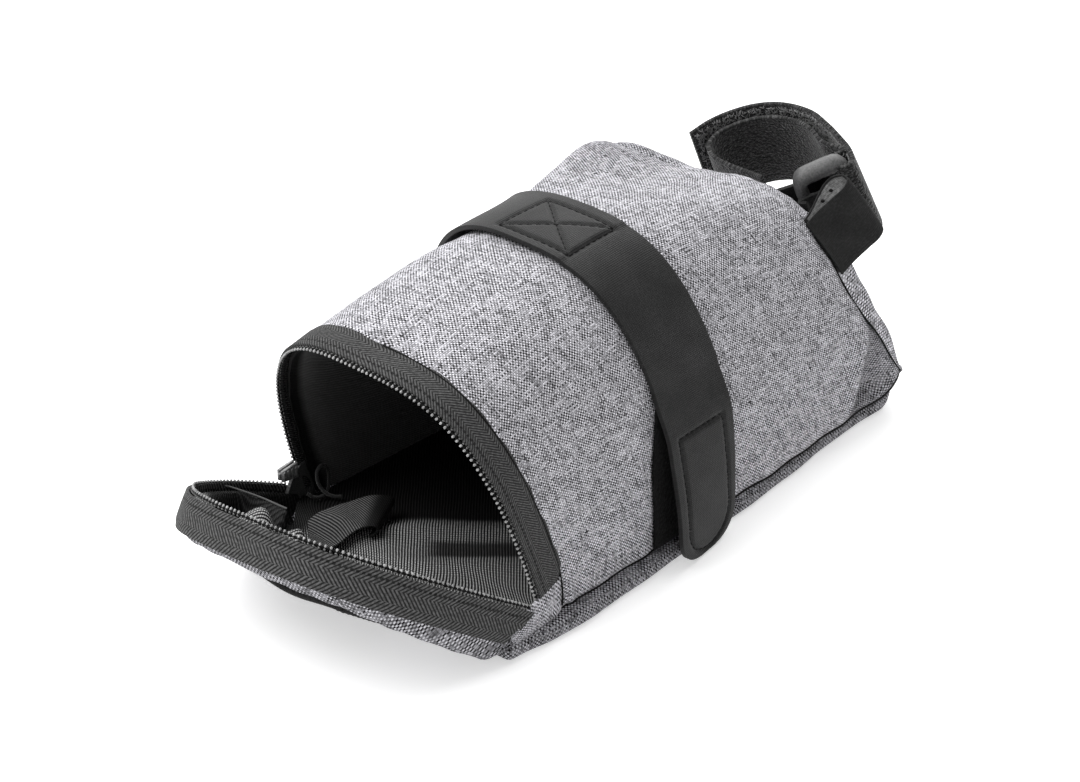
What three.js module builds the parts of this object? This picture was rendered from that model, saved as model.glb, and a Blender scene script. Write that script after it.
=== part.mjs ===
// Bicycle saddle bag: an arched cloth body on a padded base, its zipped rear flap lying open.
// Millimetres. X runs across the bag with the near side at +X, +Y points to the seat-post end,
// +Z is up, and the origin is the centre of the base's underside.
import * as THREE from 'three';

// Driving sizes
const CLEAR = 0.3;
const CLOTH = 2.2;
const LINING = 1.0;
const WEBBING = 1.8;
const TAPE = 1.2;
const STRAP_WIDTH = 30;

const BASE = { length: 189, rearHalf: 54.6, frontHalf: 44.5, thick: 7, edge: 2.2, corner: 11 };
const SEAM_Z = BASE.thick + CLEAR;

// The body is a family of leaning arches from the mouth to the seat-post end. Each arch has a half
// width, a height, how square its side and its top are, and how far it leans back as it rises.
const BODY_LENGTH = 181.4;
const MOUTH_Y = -BASE.length / 2 + 5;
const SECTIONS = [
  { at: 0.0, half: 51.4, height: 74.5, side: 3.2, top: 2.55, lean: 0.289 },
  { at: 0.5, half: 49.8, height: 88.3, side: 2.95, top: 2.42, lean: 0.386 },
  { at: 1.0, half: 46.2, height: 84.1, side: 2.7, top: 2.3, lean: 0.482 },
];
// Towards the front the far shoulder stands up in a corner and lies further back, and the top dips.
const FAR_SHOULDER = { from: 0.5, full: 1, swell: 0.22, angle: 2.19, spread: 0.28, skew: 20.4 };
const TOP_DIP = { depth: 0.064, angle: 1.7, spread: 0.43 };
// The end panel stands forward in the middle and stays a little inside the last arch.
const FRONT = { bulge: 4.5, edgePower: 5, shrink: 0.98, liningShrink: 0.9, liningRise: 2 };
// Where the body's lining starts and ends along the body, and its height above the seam
const BODY_LINING = { from: 0.013, to: 0.985, foot: 1.6 };

// The zip: visible tape width, the coil and the height of the zip ends above the ground
const ZIP = { tape: 11.5, coil: 3.2, sunk: 0.6, hingeZ: 12.4 };

// The flap is a D-shaped dish, opened about the rear edge of the base
const FLAP = {
  half: 51.6, length: 69.6, side: 3.2, top: 2.5, open: 31, roll: 5.4, skew: -0.06,
  rim: 11.3, rimTurn: 0.12, hingeFloor: 11.4, floor: 16.8, tipFloor: 9.4, sag: 11, hingeY: MOUTH_Y - 2.6,
};

// The saddle strap: rear edge at the seam, lean, hanging ends and how they stand off the body
const SADDLE = {
  rear: 64.6, lean: 0.213, plumbBelow: 52, drop: 6.6, round: 13, roundPower: 2.6, seat: 0.4,
  patchLift: 3.2, patchTop: 52, patchRun: 18, rearLift: 3.4, rearTop: 40,
};

// The seat-post strap and its fittings stand in a frame that leans with the front panel, and the
// buckle's side of it splays outwards towards the bottom
const POST = { lean: 25, splay: 0.14, y: 60.5, z: 78.3, width: 30 };

const CLOTH_GREY = '#8f9195';
const STRAP_BLACK = '#26272a';
const TAPE_BLACK = '#303134';
const LINING_BLACK = '#1d1d1f';
const PLASTIC_GREY = '#3c3d41';

const bag = new THREE.Group();

function piece(name, geometry, color, roughness, parent = bag) {
  const material = new THREE.MeshStandardMaterial({ color, roughness, metalness: 0 });
  const mesh = new THREE.Mesh(geometry, material);
  mesh.name = name;
  parent.add(mesh);
  return mesh;
}

// General forms

// A closed wall between two grids: point(s, t, layer) gives the outer face for layer 0 and the
// inner face for layer 1, with s and t running from 0 to 1.
function wall(rows, cols, point) {
  const positions = [];
  const index = [];
  for (const layer of [0, 1]) {
    for (let i = 0; i <= rows; i += 1) {
      for (let j = 0; j <= cols; j += 1) {
        const p = point(i / rows, j / cols, layer);
        positions.push(p.x, p.y, p.z);
      }
    }
  }
  const at = (layer, i, j) => (layer * (rows + 1) + i) * (cols + 1) + j;
  const quad = (a, b, c, d) => index.push(a, b, c, a, c, d);
  for (let i = 0; i < rows; i += 1) {
    for (let j = 0; j < cols; j += 1) {
      quad(at(0, i, j), at(0, i + 1, j), at(0, i + 1, j + 1), at(0, i, j + 1));
      quad(at(1, i, j), at(1, i, j + 1), at(1, i + 1, j + 1), at(1, i + 1, j));
    }
    quad(at(0, i, 0), at(1, i, 0), at(1, i + 1, 0), at(0, i + 1, 0));
    quad(at(0, i, cols), at(0, i + 1, cols), at(1, i + 1, cols), at(1, i, cols));
  }
  for (let j = 0; j < cols; j += 1) {
    quad(at(0, 0, j), at(0, 0, j + 1), at(1, 0, j + 1), at(1, 0, j));
    quad(at(0, rows, j), at(1, rows, j), at(1, rows, j + 1), at(0, rows, j + 1));
  }
  return facedOut(positions, index);
}

// Turns the triangles round where the signed volume shows that they point inwards.
function facedOut(positions, index) {
  const corner = (k) => new THREE.Vector3().fromArray(positions, 3 * index[k]);
  let volume = 0;
  for (let k = 0; k < index.length; k += 3) {
    volume += corner(k).dot(corner(k + 1).cross(corner(k + 2)));
  }
  if (volume < 0) index.reverse();
  const geometry = new THREE.BufferGeometry();
  geometry.setAttribute('position', new THREE.Float32BufferAttribute(positions, 3));
  geometry.setIndex(index);
  geometry.computeVertexNormals();
  return geometry;
}

// A round cord or coil along a curve
function tube(curve, diameter, steps) {
  const section = new THREE.Shape();
  section.absarc(0, 0, diameter / 2, 0, 2 * Math.PI);
  return new THREE.ExtrudeGeometry(section, { extrudePath: curve, steps, curveSegments: 4 });
}

const mix = (a, b, k) => a + (b - a) * k;
const smooth = (k) => {
  const t = Math.min(Math.max(k, 0), 1);
  return t * t * (3 - 2 * t);
};
const signedPower = (value, power) => Math.sign(value) * Math.abs(value) ** power;

// Values of a parameter that space a curve evenly from one end to the other
function evenSteps(curve, from, to, count) {
  const fine = 600;
  const lengths = [0];
  for (let k = 1; k <= fine; k += 1) {
    const a = curve(mix(from, to, (k - 1) / fine));
    const b = curve(mix(from, to, k / fine));
    lengths.push(lengths[k - 1] + a.distanceTo(b));
  }
  const values = [];
  for (let i = 0, k = 0; i <= count; i += 1) {
    const wanted = (lengths[fine] * i) / count;
    while (k < fine - 1 && lengths[k + 1] < wanted) k += 1;
    const part = (wanted - lengths[k]) / (lengths[k + 1] - lengths[k]);
    values.push(mix(from, to, (k + part) / fine));
  }
  return values;
}

// The arched body

function section(at) {
  const weights = [(1 - at) * (1 - 2 * at), 4 * at * (1 - at), at * (2 * at - 1)];
  const blend = (key) => SECTIONS.reduce((sum, row, i) => sum + row[key] * weights[i], 0);
  return {
    half: blend('half'), height: blend('height'), side: blend('side'), top: blend('top'),
    lean: blend('lean'),
  };
}

// A point of the arch at this place along the body, drawn in towards its foot by share
function archPoint(at, angle, share = 1) {
  const row = section(at);
  const towardsFront = smooth((at - FAR_SHOULDER.from) / (FAR_SHOULDER.full - FAR_SHOULDER.from));
  const bump = (form) => Math.exp(-(((angle - form.angle) / form.spread) ** 2));
  const change = FAR_SHOULDER.swell * bump(FAR_SHOULDER) - TOP_DIP.depth * bump(TOP_DIP);
  const size = share * (1 + towardsFront * change);
  const x = size * row.half * signedPower(Math.cos(angle), 2 / row.side);
  const rise = size * row.height * Math.max(Math.sin(angle), 0) ** (2 / row.top);
  const farSide = Math.max(-x / row.half, 0);
  const skew = FAR_SHOULDER.skew * at ** 4 * farSide * (rise / row.height);
  const y = MOUTH_Y + at * BODY_LENGTH - row.lean * rise - skew;
  return new THREE.Vector3(x, y, SEAM_Z + rise);
}

function bodyPoint(at, angle, offset) {
  const step = 0.002;
  const along = archPoint(at + step, angle).sub(archPoint(at - step, angle));
  const low = Math.max(angle - step, 0);
  const high = Math.min(angle + step, Math.PI);
  const around = archPoint(at, high).sub(archPoint(at, low));
  const normal = along.cross(around).normalize();
  return archPoint(at, angle).addScaledVector(normal, offset);
}

// The angle at which the arch has this rise above the seam
function angleAtRise(at, rise) {
  const row = section(at);
  return Math.asin((rise / row.height) ** (row.top / 2));
}

// A stretch of the body's wall: from and to along it, the lowest rise, and the two offsets
function bodyWall(rows, cols, from, to, lowRise, outer, inner) {
  const start = angleAtRise(0.5, lowRise);
  const angles = evenSteps((angle) => archPoint(0.5, angle), start, Math.PI - start, cols);
  return wall(rows, cols, (s, t, layer) => {
    const angle = angles[Math.round(t * cols)];
    return bodyPoint(mix(from, to, s), angle, layer === 0 ? outer : inner);
  });
}

const tapeShare = ZIP.tape / BODY_LENGTH;
const gapShare = CLEAR / BODY_LENGTH;
const coilShare = (ZIP.coil / 2 + CLEAR) / BODY_LENGTH;
const zipRise = ZIP.hingeZ - SEAM_Z;

function addBody() {
  const panel = bodyWall(11, 32, tapeShare, 1, 0, 0, -CLOTH);
  piece('body_panel', panel, CLOTH_GREY, 0.95);
  const liningOuter = -CLOTH - 2 * CLEAR;
  const { from: liningStart, to: liningEnd, foot } = BODY_LINING;
  const lining = bodyWall(9, 32, liningStart, liningEnd, foot, liningOuter, liningOuter - LINING);
  piece('body_lining', lining, LINING_BLACK, 0.9);
  const tapeEnd = tapeShare - gapShare;
  const tape = bodyWall(1, 32, coilShare, tapeEnd, zipRise, -ZIP.sunk, -ZIP.sunk - TAPE);
  piece('body_zip_tape', tape, TAPE_BLACK, 0.9);
  const gussetTop = angleAtRise(0, zipRise - CLEAR);
  for (const [side, from, to] of [['near', 0, gussetTop], ['far', Math.PI, Math.PI - gussetTop]]) {
    const patch = wall(2, 2, (s, t, layer) => {
      const depth = layer === 0 ? -ZIP.sunk : -CLOTH;
      return bodyPoint(mix(0.004, tapeEnd, s), mix(from, to, t), depth);
    });
    piece(`hinge_gusset_${side}`, patch, CLOTH_GREY, 0.95);
  }
}

// The base and the linings that lie on it

function addBase() {
  const { length, rearHalf, frontHalf, thick, edge, corner } = BASE;
  const rear = -length / 2 + edge;
  const front = length / 2 - edge;
  const outline = new THREE.Shape();
  outline.moveTo(-rearHalf + edge, rear);
  outline.lineTo(rearHalf - edge, rear);
  outline.lineTo(frontHalf - edge, front - corner);
  outline.quadraticCurveTo(frontHalf - edge - 1, front, frontHalf - edge - corner, front);
  outline.lineTo(-frontHalf + edge + corner, front);
  outline.quadraticCurveTo(-frontHalf + edge + 1, front, -frontHalf + edge, front - corner);
  outline.closePath();
  const slab = new THREE.ExtrudeGeometry(outline, {
    depth: thick - 2 * edge, bevelThickness: edge, bevelSize: edge, bevelSegments: 3, curveSegments: 6,
  });
  slab.translate(0, 0, edge);
  piece('base_panel', slab, CLOTH_GREY, 0.95);

  const inset = CLOTH + LINING + 1.2;
  const floor = wall(12, 4, (s, t, layer) => {
    const at = mix(0, 0.975, s);
    const half = section(at).half - inset;
    const wave = 0.35 * (1 - Math.cos(2 * Math.PI * 3 * s)) * Math.sin(Math.PI * t);
    const top = SEAM_Z + LINING + wave;
    return new THREE.Vector3(mix(-half, half, t), MOUTH_Y + at * BODY_LENGTH, layer === 0 ? top : SEAM_Z);
  });
  piece('floor_lining', floor, LINING_BLACK, 0.85);
}

// Maps a half square, across from -1 to 1 and up from 0 to 1, to a ring share and an arch angle.
function archGrid(across, up) {
  const share = Math.max(Math.abs(across), up);
  if (share === 0) return { share: 0, angle: Math.PI / 2 };
  if (up >= Math.abs(across)) return { share, angle: Math.PI / 2 - (across / up) * (Math.PI / 4) };
  const quarter = (up / Math.abs(across)) * (Math.PI / 4);
  return { share, angle: across > 0 ? quarter : Math.PI - quarter };
}

// The padded end panel: its edge stays on the last arch and its middle stands forward
function addFront() {
  const lean = section(1).lean;
  const forward = new THREE.Vector3(0, 1, lean).normalize();
  const end = (rows, cols, shrink, outer, inner, bulge) => wall(rows, cols, (s, t, layer) => {
    const { share, angle } = archGrid(mix(-1, 1, t), s);
    const dome = bulge * (1 - share ** FRONT.edgePower);
    const point = archPoint(1, angle, share * shrink);
    return point.addScaledVector(forward, dome + (layer === 0 ? outer : inner));
  });
  const panel = end(9, 18, FRONT.shrink, CLEAR + CLOTH, CLEAR, FRONT.bulge);
  piece('front_panel', panel, CLOTH_GREY, 0.95);
  const backing = end(6, 12, FRONT.liningShrink, -CLEAR, -CLEAR - LINING, 0);
  backing.translate(0, 0, FRONT.liningRise);
  piece('front_lining', backing, LINING_BLACK, 0.9);
}

// The open flap: x across, w from the hinge to the tip, depth outwards from the zip's plane
function flapPoint(x, w, depth) {
  const open = THREE.MathUtils.degToRad(FLAP.open);
  const reach = w / FLAP.length;
  const y = FLAP.hingeY - Math.cos(open) * w - Math.sin(open) * depth;
  const roll = FLAP.roll * (x / FLAP.half) * reach;
  const z = ZIP.hingeZ + Math.sin(open) * w + roll - Math.cos(open) * depth;
  return new THREE.Vector3(x + FLAP.skew * w, y, z);
}

function flapOutline(angle, inset = 0) {
  const x = (FLAP.half - inset) * signedPower(Math.cos(angle), 2 / FLAP.side);
  const w = (FLAP.length - inset) * Math.max(Math.sin(angle), 0) ** (2 / FLAP.top);
  return { x, w };
}

function addFlap() {
  const start = 0.012;
  const rim = (angle, depth, inset = 0) => {
    const { x, w } = flapOutline(angle, inset);
    return flapPoint(x, w, depth);
  };
  const tapeSteps = 36;
  const angles = evenSteps((angle) => rim(angle, 0), start, Math.PI - start, tapeSteps);
  const tape = wall(tapeSteps, 1, (s, t, layer) => {
    const depth = mix(ZIP.coil / 2 + CLEAR, FLAP.rim - CLEAR, t);
    return rim(angles[Math.round(s * tapeSteps)], depth, layer * TAPE);
  });
  piece('flap_zip_tape', tape, TAPE_BLACK, 0.9);

  // Depth of the dish: the rim turns in and runs to a floor that is deepest near the hinge.
  const inRim = (share) => smooth((share - 1 + FLAP.rimTurn) / FLAP.rimTurn);
  const floorAt = (w) => {
    if (w < FLAP.sag) return mix(FLAP.hingeFloor, FLAP.floor, smooth(w / FLAP.sag));
    return mix(FLAP.floor, FLAP.tipFloor, (w - FLAP.sag) / (FLAP.length - FLAP.sag));
  };
  const cloth = wall(10, 20, (s, t, layer) => {
    const { share, angle } = archGrid(mix(-1, 1, t), s);
    const { x, w } = flapOutline(angle, layer * CLOTH);
    const thick = layer === 0 ? CLOTH * (1 - inRim(share)) : 0;
    return flapPoint(x * share, w * share, mix(floorAt(w * share), FLAP.rim, inRim(share)) + thick);
  });
  piece('flap_panel', cloth, CLOTH_GREY, 0.95);

  // The lining hangs loose in the dish, with a hump towards the far corner.
  const hump = { x: -26, w: 28, height: 4.5, spread: 15 };
  const liningRim = 3;
  const lining = wall(8, 16, (s, t, layer) => {
    const { share, angle } = archGrid(mix(-1, 1, t), s);
    const { x, w } = flapOutline(angle, TAPE + 2 * CLEAR + layer * LINING);
    const away = Math.hypot(x * share - hump.x, w * share - hump.w) / hump.spread;
    const raise = hump.height * Math.exp(-away * away);
    const thick = layer === 0 ? 0 : LINING * (1 - inRim(share));
    const under = floorAt(w * share) - 3 * CLEAR - raise;
    return flapPoint(x * share, w * share, mix(under, liningRim, inRim(share)) - thick);
  });
  piece('flap_lining', lining, LINING_BLACK, 0.9);

  // Webbing sewn on the outside, standing off a little in the middle
  const loop = { half: 22, low: 24, high: 44, stand: 1.8 };
  const webbing = wall(12, 2, (s, t, layer) => {
    const x = mix(-loop.half, loop.half, s);
    const stand = loop.stand * Math.sin(Math.PI * s) ** 2;
    const w = mix(loop.low, loop.high, t);
    const depth = floorAt(w) + CLOTH + CLEAR + stand + (layer === 0 ? WEBBING : 0);
    return flapPoint(x, w, depth);
  });
  piece('light_loop', webbing, STRAP_BLACK, 0.8);
}

// The zip's two coils, its slider and the cord on it
function addZip() {
  const nearEnd = angleAtRise(0, zipRise);
  const farEnd = Math.PI - angleAtRise(0, zipRise + 10);
  const coilDepth = -ZIP.sunk - TAPE / 2;
  const bodyAngles = evenSteps((angle) => archPoint(0, angle), nearEnd, farEnd, 44);
  const bodyRun = new THREE.CatmullRomCurve3(bodyAngles.map((angle) => bodyPoint(0, angle, coilDepth)));
  piece('body_zip_coil', tube(bodyRun, ZIP.coil, 44), TAPE_BLACK, 0.5);

  const flapEdge = (angle) => {
    const { x, w } = flapOutline(angle, TAPE / 2);
    return flapPoint(x, w, 0);
  };
  const flapAngles = evenSteps(flapEdge, 0.02, Math.PI - 0.12, 44);
  const flapRun = new THREE.CatmullRomCurve3(flapAngles.map(flapEdge));
  piece('flap_zip_coil', tube(flapRun, ZIP.coil, 44), TAPE_BLACK, 0.5);

  const slider = { wide: 7.5, long: 9, thick: 4, nose: 2.2 };
  const outline = new THREE.Shape();
  outline.moveTo(-slider.wide / 2, -slider.long / 2 + slider.nose);
  outline.lineTo(-slider.wide / 2 + slider.nose, -slider.long / 2);
  outline.lineTo(slider.wide / 2 - slider.nose, -slider.long / 2);
  outline.lineTo(slider.wide / 2, -slider.long / 2 + slider.nose);
  outline.lineTo(slider.wide / 2 - 0.6, slider.long / 2);
  outline.lineTo(-slider.wide / 2 + 0.6, slider.long / 2);
  outline.closePath();
  const body = new THREE.ExtrudeGeometry(outline, {
    depth: slider.thick - 1, bevelThickness: 0.5, bevelSize: 0.5, bevelOffset: -0.5, bevelSegments: 1,
  });
  const mesh = piece('zip_slider', body, '#17181a', 0.4);
  mesh.rotation.set(0, -Math.PI / 2, 0);
  mesh.position.set(SLIDER.x, SLIDER.y, SLIDER.z);

  const route = PULLER_ROUTE.map(([x, y, z]) => new THREE.Vector3(x, y, z));
  piece('zip_puller', tube(new THREE.CatmullRomCurve3(route), PULLER_DIAMETER, 26), '#151516', 0.7);
}

// The slider's place at the far end of the zip, and the route of the cord that hangs from it
const SLIDER = { x: -45.2, y: MOUTH_Y - 6.4, z: ZIP.hingeZ + 4.2 };
const PULLER_DIAMETER = 1.6;
const PULLER_ROUTE = [
  [-45.2, -93.6, 12.0], [-43.8, -92.4, 10.8], [-43.0, -90.6, 10.2], [-42.8, -88.4, 10.4],
  [-43.4, -86.4, 11.6], [-44.4, -85.0, 13.8], [-45.0, -84.6, 16.4], [-45.2, -85.6, 18.6],
  [-45.2, -87.6, 19.4], [-45.0, -89.2, 18.0], [-44.4, -89.8, 15.6], [-43.2, -89.6, 13.2],
  [-41.6, -88.8, 11.4], [-39.8, -87.4, 10.4], [-38.2, -85.6, 10.2],
];

// The webbing over the top and the strips that its ends close on

// The place along the body where a plane across it, leaning like the strap, meets an arch angle
function strapShare(y, angle) {
  let at = 0.5;
  for (let pass = 0; pass < 8; pass += 1) {
    const row = section(at);
    const point = archPoint(at, angle);
    const rise = point.z - SEAM_Z;
    const slip = MOUTH_Y + at * BODY_LENGTH - row.lean * rise - point.y;
    at = (y + row.lean * rise - SADDLE.lean * Math.max(rise, SADDLE.plumbBelow) + slip) / BODY_LENGTH;
  }
  return at;
}

// How far the strap's inner face stands off the body at a height above the seam. The rear edge of
// each hanging end, where across is 0, stands further off than the front edge.
function strapLift(rise, across) {
  const overPatch = SADDLE.patchLift * smooth((SADDLE.patchTop - rise) / SADDLE.patchRun);
  const atRear = SADDLE.rearLift * (1 - across) * smooth((SADDLE.rearTop - rise) / SADDLE.rearTop);
  return SADDLE.seat + overPatch + atRear;
}

// A point of a band over the body: run is the length from the near seam up and over, and it goes
// below nought or past the far seam where the end hangs lower than the seam.
const BAND_AT = 0.44;
const BAND_STEPS = 200;
const bandArch = (angle) => archPoint(BAND_AT, angle);
const bandAngles = evenSteps(bandArch, 0, Math.PI, BAND_STEPS);
const bandLength = bandAngles.slice(1).reduce(
  (sum, angle, i) => sum + bandArch(angle).distanceTo(bandArch(bandAngles[i])), 0);

function bandPoint(run, y, offset) {
  const inside = Math.min(Math.max(run, 0), bandLength);
  const place = (inside / bandLength) * BAND_STEPS;
  const k = Math.min(Math.floor(place), BAND_STEPS - 1);
  const angle = mix(bandAngles[k], bandAngles[k + 1], place - k);
  const below = Math.max(-run, run - bandLength, 0);
  const point = bodyPoint(strapShare(y, angle), angle, offset(below > 0 ? -below : riseAt(angle)));
  point.z -= below;
  return point;
}

const riseAt = (angle) => bandArch(angle).z - SEAM_Z;

function addSaddleStrap() {
  const { drop, round, roundPower, rear } = SADDLE;
  const tips = [0.3, 1.5, 4, 8, round].map((d) => d - drop);
  const middleRows = 40;
  const runs = [...tips];
  for (let k = 1; k < middleRows; k += 1) {
    runs.push(mix(tips.at(-1), bandLength - tips.at(-1), k / middleRows));
  }
  runs.push(...tips.map((run) => bandLength - run).reverse());
  const rows = runs.length - 1;
  const narrowing = (run) => {
    const fromTip = Math.min(run, bandLength - run) + drop;
    const share = Math.min(fromTip / round, 1);
    return (1 - (1 - share) ** roundPower) ** (1 / roundPower);
  };
  const strap = wall(rows, 2, (s, t, layer) => {
    const run = runs[Math.round(s * rows)];
    const y = rear + STRAP_WIDTH * (0.5 + (t - 0.5) * narrowing(run));
    const across = (y - rear) / STRAP_WIDTH;
    return bandPoint(run, y, (rise) => strapLift(rise, across) + (layer === 0 ? WEBBING : 0));
  });
  piece('saddle_strap', strap, STRAP_BLACK, 0.75);

  const strip = { top: 36, thick: 1.1, back: 3.6 };
  const patch = { low: 1.5, top: 31, thick: 1.1, inset: 3 };
  for (const side of ['near', 'far']) {
    const along = (run) => (side === 'near' ? run : bandLength - run);
    const loops = wall(6, 2, (s, t, layer) => {
      const y = rear - strip.back + STRAP_WIDTH * t;
      return bandPoint(along(mix(0.2, strip.top, s)), y, () => CLEAR + (layer === 0 ? strip.thick : 0));
    });
    piece(`loop_strip_${side}`, loops, LINING_BLACK, 1);
    const hooks = wall(6, 2, (s, t, layer) => {
      const inset = mix(patch.inset, STRAP_WIDTH - patch.inset, t);
      const depth = CLEAR + (layer === 0 ? 0 : patch.thick);
      const lift = (rise) => strapLift(rise, inset / STRAP_WIDTH) - depth;
      return bandPoint(along(mix(patch.low, patch.top, s)), rear + inset, lift);
    });
    piece(`hook_patch_${side}`, hooks, LINING_BLACK, 1);
  }
}

// The seat-post strap: a ribbon seen in plan, raised along the leaning frame

// A ribbon of even thickness along plan points, standing from low to high
function ribbon(points, thickness, low, high, steps, rows = 1, shift = () => 0) {
  const curve = new THREE.CatmullRomCurve3(points.map(([x, y]) => new THREE.Vector3(x, y, 0)));
  const middle = curve.getSpacedPoints(steps);
  const sides = middle.map((point, i) => {
    const before = middle[Math.max(i - 1, 0)];
    const after = middle[Math.min(i + 1, steps)];
    const along = after.clone().sub(before).normalize();
    return new THREE.Vector3(-along.y, along.x, 0);
  });
  return wall(rows, steps, (s, t, layer) => {
    const k = Math.round(t * steps);
    const side = layer === 0 ? thickness / 2 : -thickness / 2;
    const point = middle[k].clone().addScaledVector(sides[k], side);
    point.z = mix(low, high, s);
    point.x += shift(point);
    return point;
  });
}

function addSeatpostStrap() {
  const frame = new THREE.Group();
  frame.position.set(0, POST.y, POST.z);
  frame.rotation.x = THREE.MathUtils.degToRad(POST.lean);
  bag.add(frame);

  // The ring: two bars along the strap's width, joined by a short side above and below
  const ring = { long: 23.5, tall: 36.4, bar: 4.2, x: 20.8, y: 15.8, turn: 56 };
  const turn = THREE.MathUtils.degToRad(ring.turn);
  const along = new THREE.Vector2(Math.cos(turn), Math.sin(turn));
  const outline = new THREE.Shape();
  const soft = 3;
  const rounded = (path, halfWide, halfTall, r) => {
    path.moveTo(-halfWide + r, -halfTall);
    path.lineTo(halfWide - r, -halfTall);
    path.quadraticCurveTo(halfWide, -halfTall, halfWide, -halfTall + r);
    path.lineTo(halfWide, halfTall - r);
    path.quadraticCurveTo(halfWide, halfTall, halfWide - r, halfTall);
    path.lineTo(-halfWide + r, halfTall);
    path.quadraticCurveTo(-halfWide, halfTall, -halfWide, halfTall - r);
    path.lineTo(-halfWide, -halfTall + r);
    path.quadraticCurveTo(-halfWide, -halfTall, -halfWide + r, -halfTall);
  };
  const bevel = 1.1;
  rounded(outline, ring.long / 2 - bevel, ring.tall / 2 - bevel, soft);
  const hole = new THREE.Path();
  const holeTall = ring.tall / 2 - 2.8;
  rounded(hole, ring.long / 2 - ring.bar + bevel, holeTall + bevel, 1.2);
  outline.holes.push(hole);
  const plastic = new THREE.ExtrudeGeometry(outline, {
    depth: ring.bar - 2 * bevel, bevelThickness: bevel, bevelSize: bevel, bevelSegments: 2, curveSegments: 4,
  });
  plastic.translate(0, 0, -ring.bar / 2 + bevel);
  plastic.rotateX(Math.PI / 2);
  plastic.rotateZ(turn);
  plastic.applyMatrix4(new THREE.Matrix4().makeShear(0, 0, 0, 0, -POST.splay, 0));
  const buckle = piece('buckle', plastic, PLASTIC_GREY, 0.5, frame);
  buckle.position.set(ring.x, ring.y, -POST.width / 2);

  // Centres of the ring's two bars in plan, and points round them at the strap's turning radius
  const reach = ring.long / 2 - ring.bar / 2;
  const barAt = (sign) => [ring.x + sign * reach * along.x, ring.y + sign * reach * along.y];
  const round = (centre, forward, out, radius) => [
    centre[0] + radius * (forward * along.x + out * along.y),
    centre[1] + radius * (forward * along.y - out * along.x),
  ];
  const front = barAt(1);
  const rear = barAt(-1);
  const turnRadius = 3.8;

  const strapPlan = [
    [6, 6.6], [-2, 6.6], [-10, 6.8], [-17.5, 8], [-21.5, 11.5], [-22, 16.5], [-19, 22.5], [-13.5, 28],
    [-6, 31.6], [2, 32.4], [9.5, 31], [16, 28],
    round(front, 0.5, -1, turnRadius), round(front, -0.6, -0.8, turnRadius),
    round(front, -1, 0, turnRadius), round(front, -0.6, 0.8, turnRadius), round(front, 0.5, 1, turnRadius),
    [29.4, 26.6], [26, 29.2], [20.6, 31.9], [13.4, 35.1], [4.9, 37.6], [-4, 38], [-11.5, 36.4], [-18, 32.8],
    [-23.8, 27.2], [-28.2, 20.5], [-30.8, 13],
  ];
  const splay = (point) => -POST.splay * (point.z + POST.width / 2) * smooth(point.x / 12);
  const strap = ribbon(strapPlan, WEBBING, -POST.width, 0, 100, 1, splay);
  piece('seatpost_strap', strap, STRAP_BLACK, 0.8, frame);

  const anchorPlan = [
    [23, 6.8], [20.4, 6.2], round(rear, 0, 1, turnRadius), round(rear, 0.75, 0.75, turnRadius),
    round(rear, 1, 0, turnRadius), round(rear, 0.75, -0.75, turnRadius), round(rear, 0, -1, turnRadius),
    [9.6, 6.8],
  ];
  const anchor = ribbon(anchorPlan, WEBBING, -POST.width + 1, -1.5, 36, 1, splay);
  piece('buckle_anchor', anchor, STRAP_BLACK, 0.8, frame);

  // The tag is folded in two and caught in the near seam, which runs outwards as it goes down.
  const tag = { thick: 1.1, low: -17.6, high: -0.8, clear: 2.3 };
  const seamX = (z) => {
    const rise = POST.z - SEAM_Z + z * Math.cos(frame.rotation.x);
    return archPoint(1, angleAtRise(1, rise)).x;
  };
  const tagPlan = [
    [1.9, -2.6], [2.4, 4], [3, 11], [2.6, 15.6], [0.2, 17.8], [-2.2, 16], [-2.2, 11], [-1.2, 5], [0.3, -2.6],
  ];
  const follow = (point) => seamX(point.z) + tag.clear;
  const label = ribbon(tagPlan, tag.thick, tag.low, tag.high, 28, 2, follow);
  piece('side_tag', label, STRAP_BLACK, 0.8, frame);
}

// A loose folded tab of lining on the floor at the hinge
function addLiningTab() {
  const tab = { x: -22, y: MOUTH_Y - 5, wide: 13, long: 26, turn: 40, rise: 5 };
  const turn = THREE.MathUtils.degToRad(tab.turn);
  const fold = wall(10, 3, (s, t, layer) => {
    const along = mix(-tab.long / 2, tab.long / 2, s);
    const across = mix(-tab.wide / 2, tab.wide / 2, t) * (1 - 0.35 * s);
    const height = tab.rise * Math.sin(Math.PI * Math.min(s * 1.15, 1)) + 2.2 * t * s;
    const x = tab.x + along * Math.cos(turn) - across * Math.sin(turn);
    const y = tab.y + along * Math.sin(turn) + across * Math.cos(turn);
    return new THREE.Vector3(x, y, SEAM_Z + LINING + CLEAR + height + (layer === 0 ? LINING : 0));
  });
  piece('lining_tab', fold, LINING_BLACK, 0.9);
}

addBase();
addBody();
addFront();
addFlap();
addZip();
addSaddleStrap();
addSeatpostStrap();
addLiningTab();

export default bag;
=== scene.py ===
"""Looks of a bicycle saddle bag: melange cloth, webbing, zip, linings and stitching."""
import math

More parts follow.
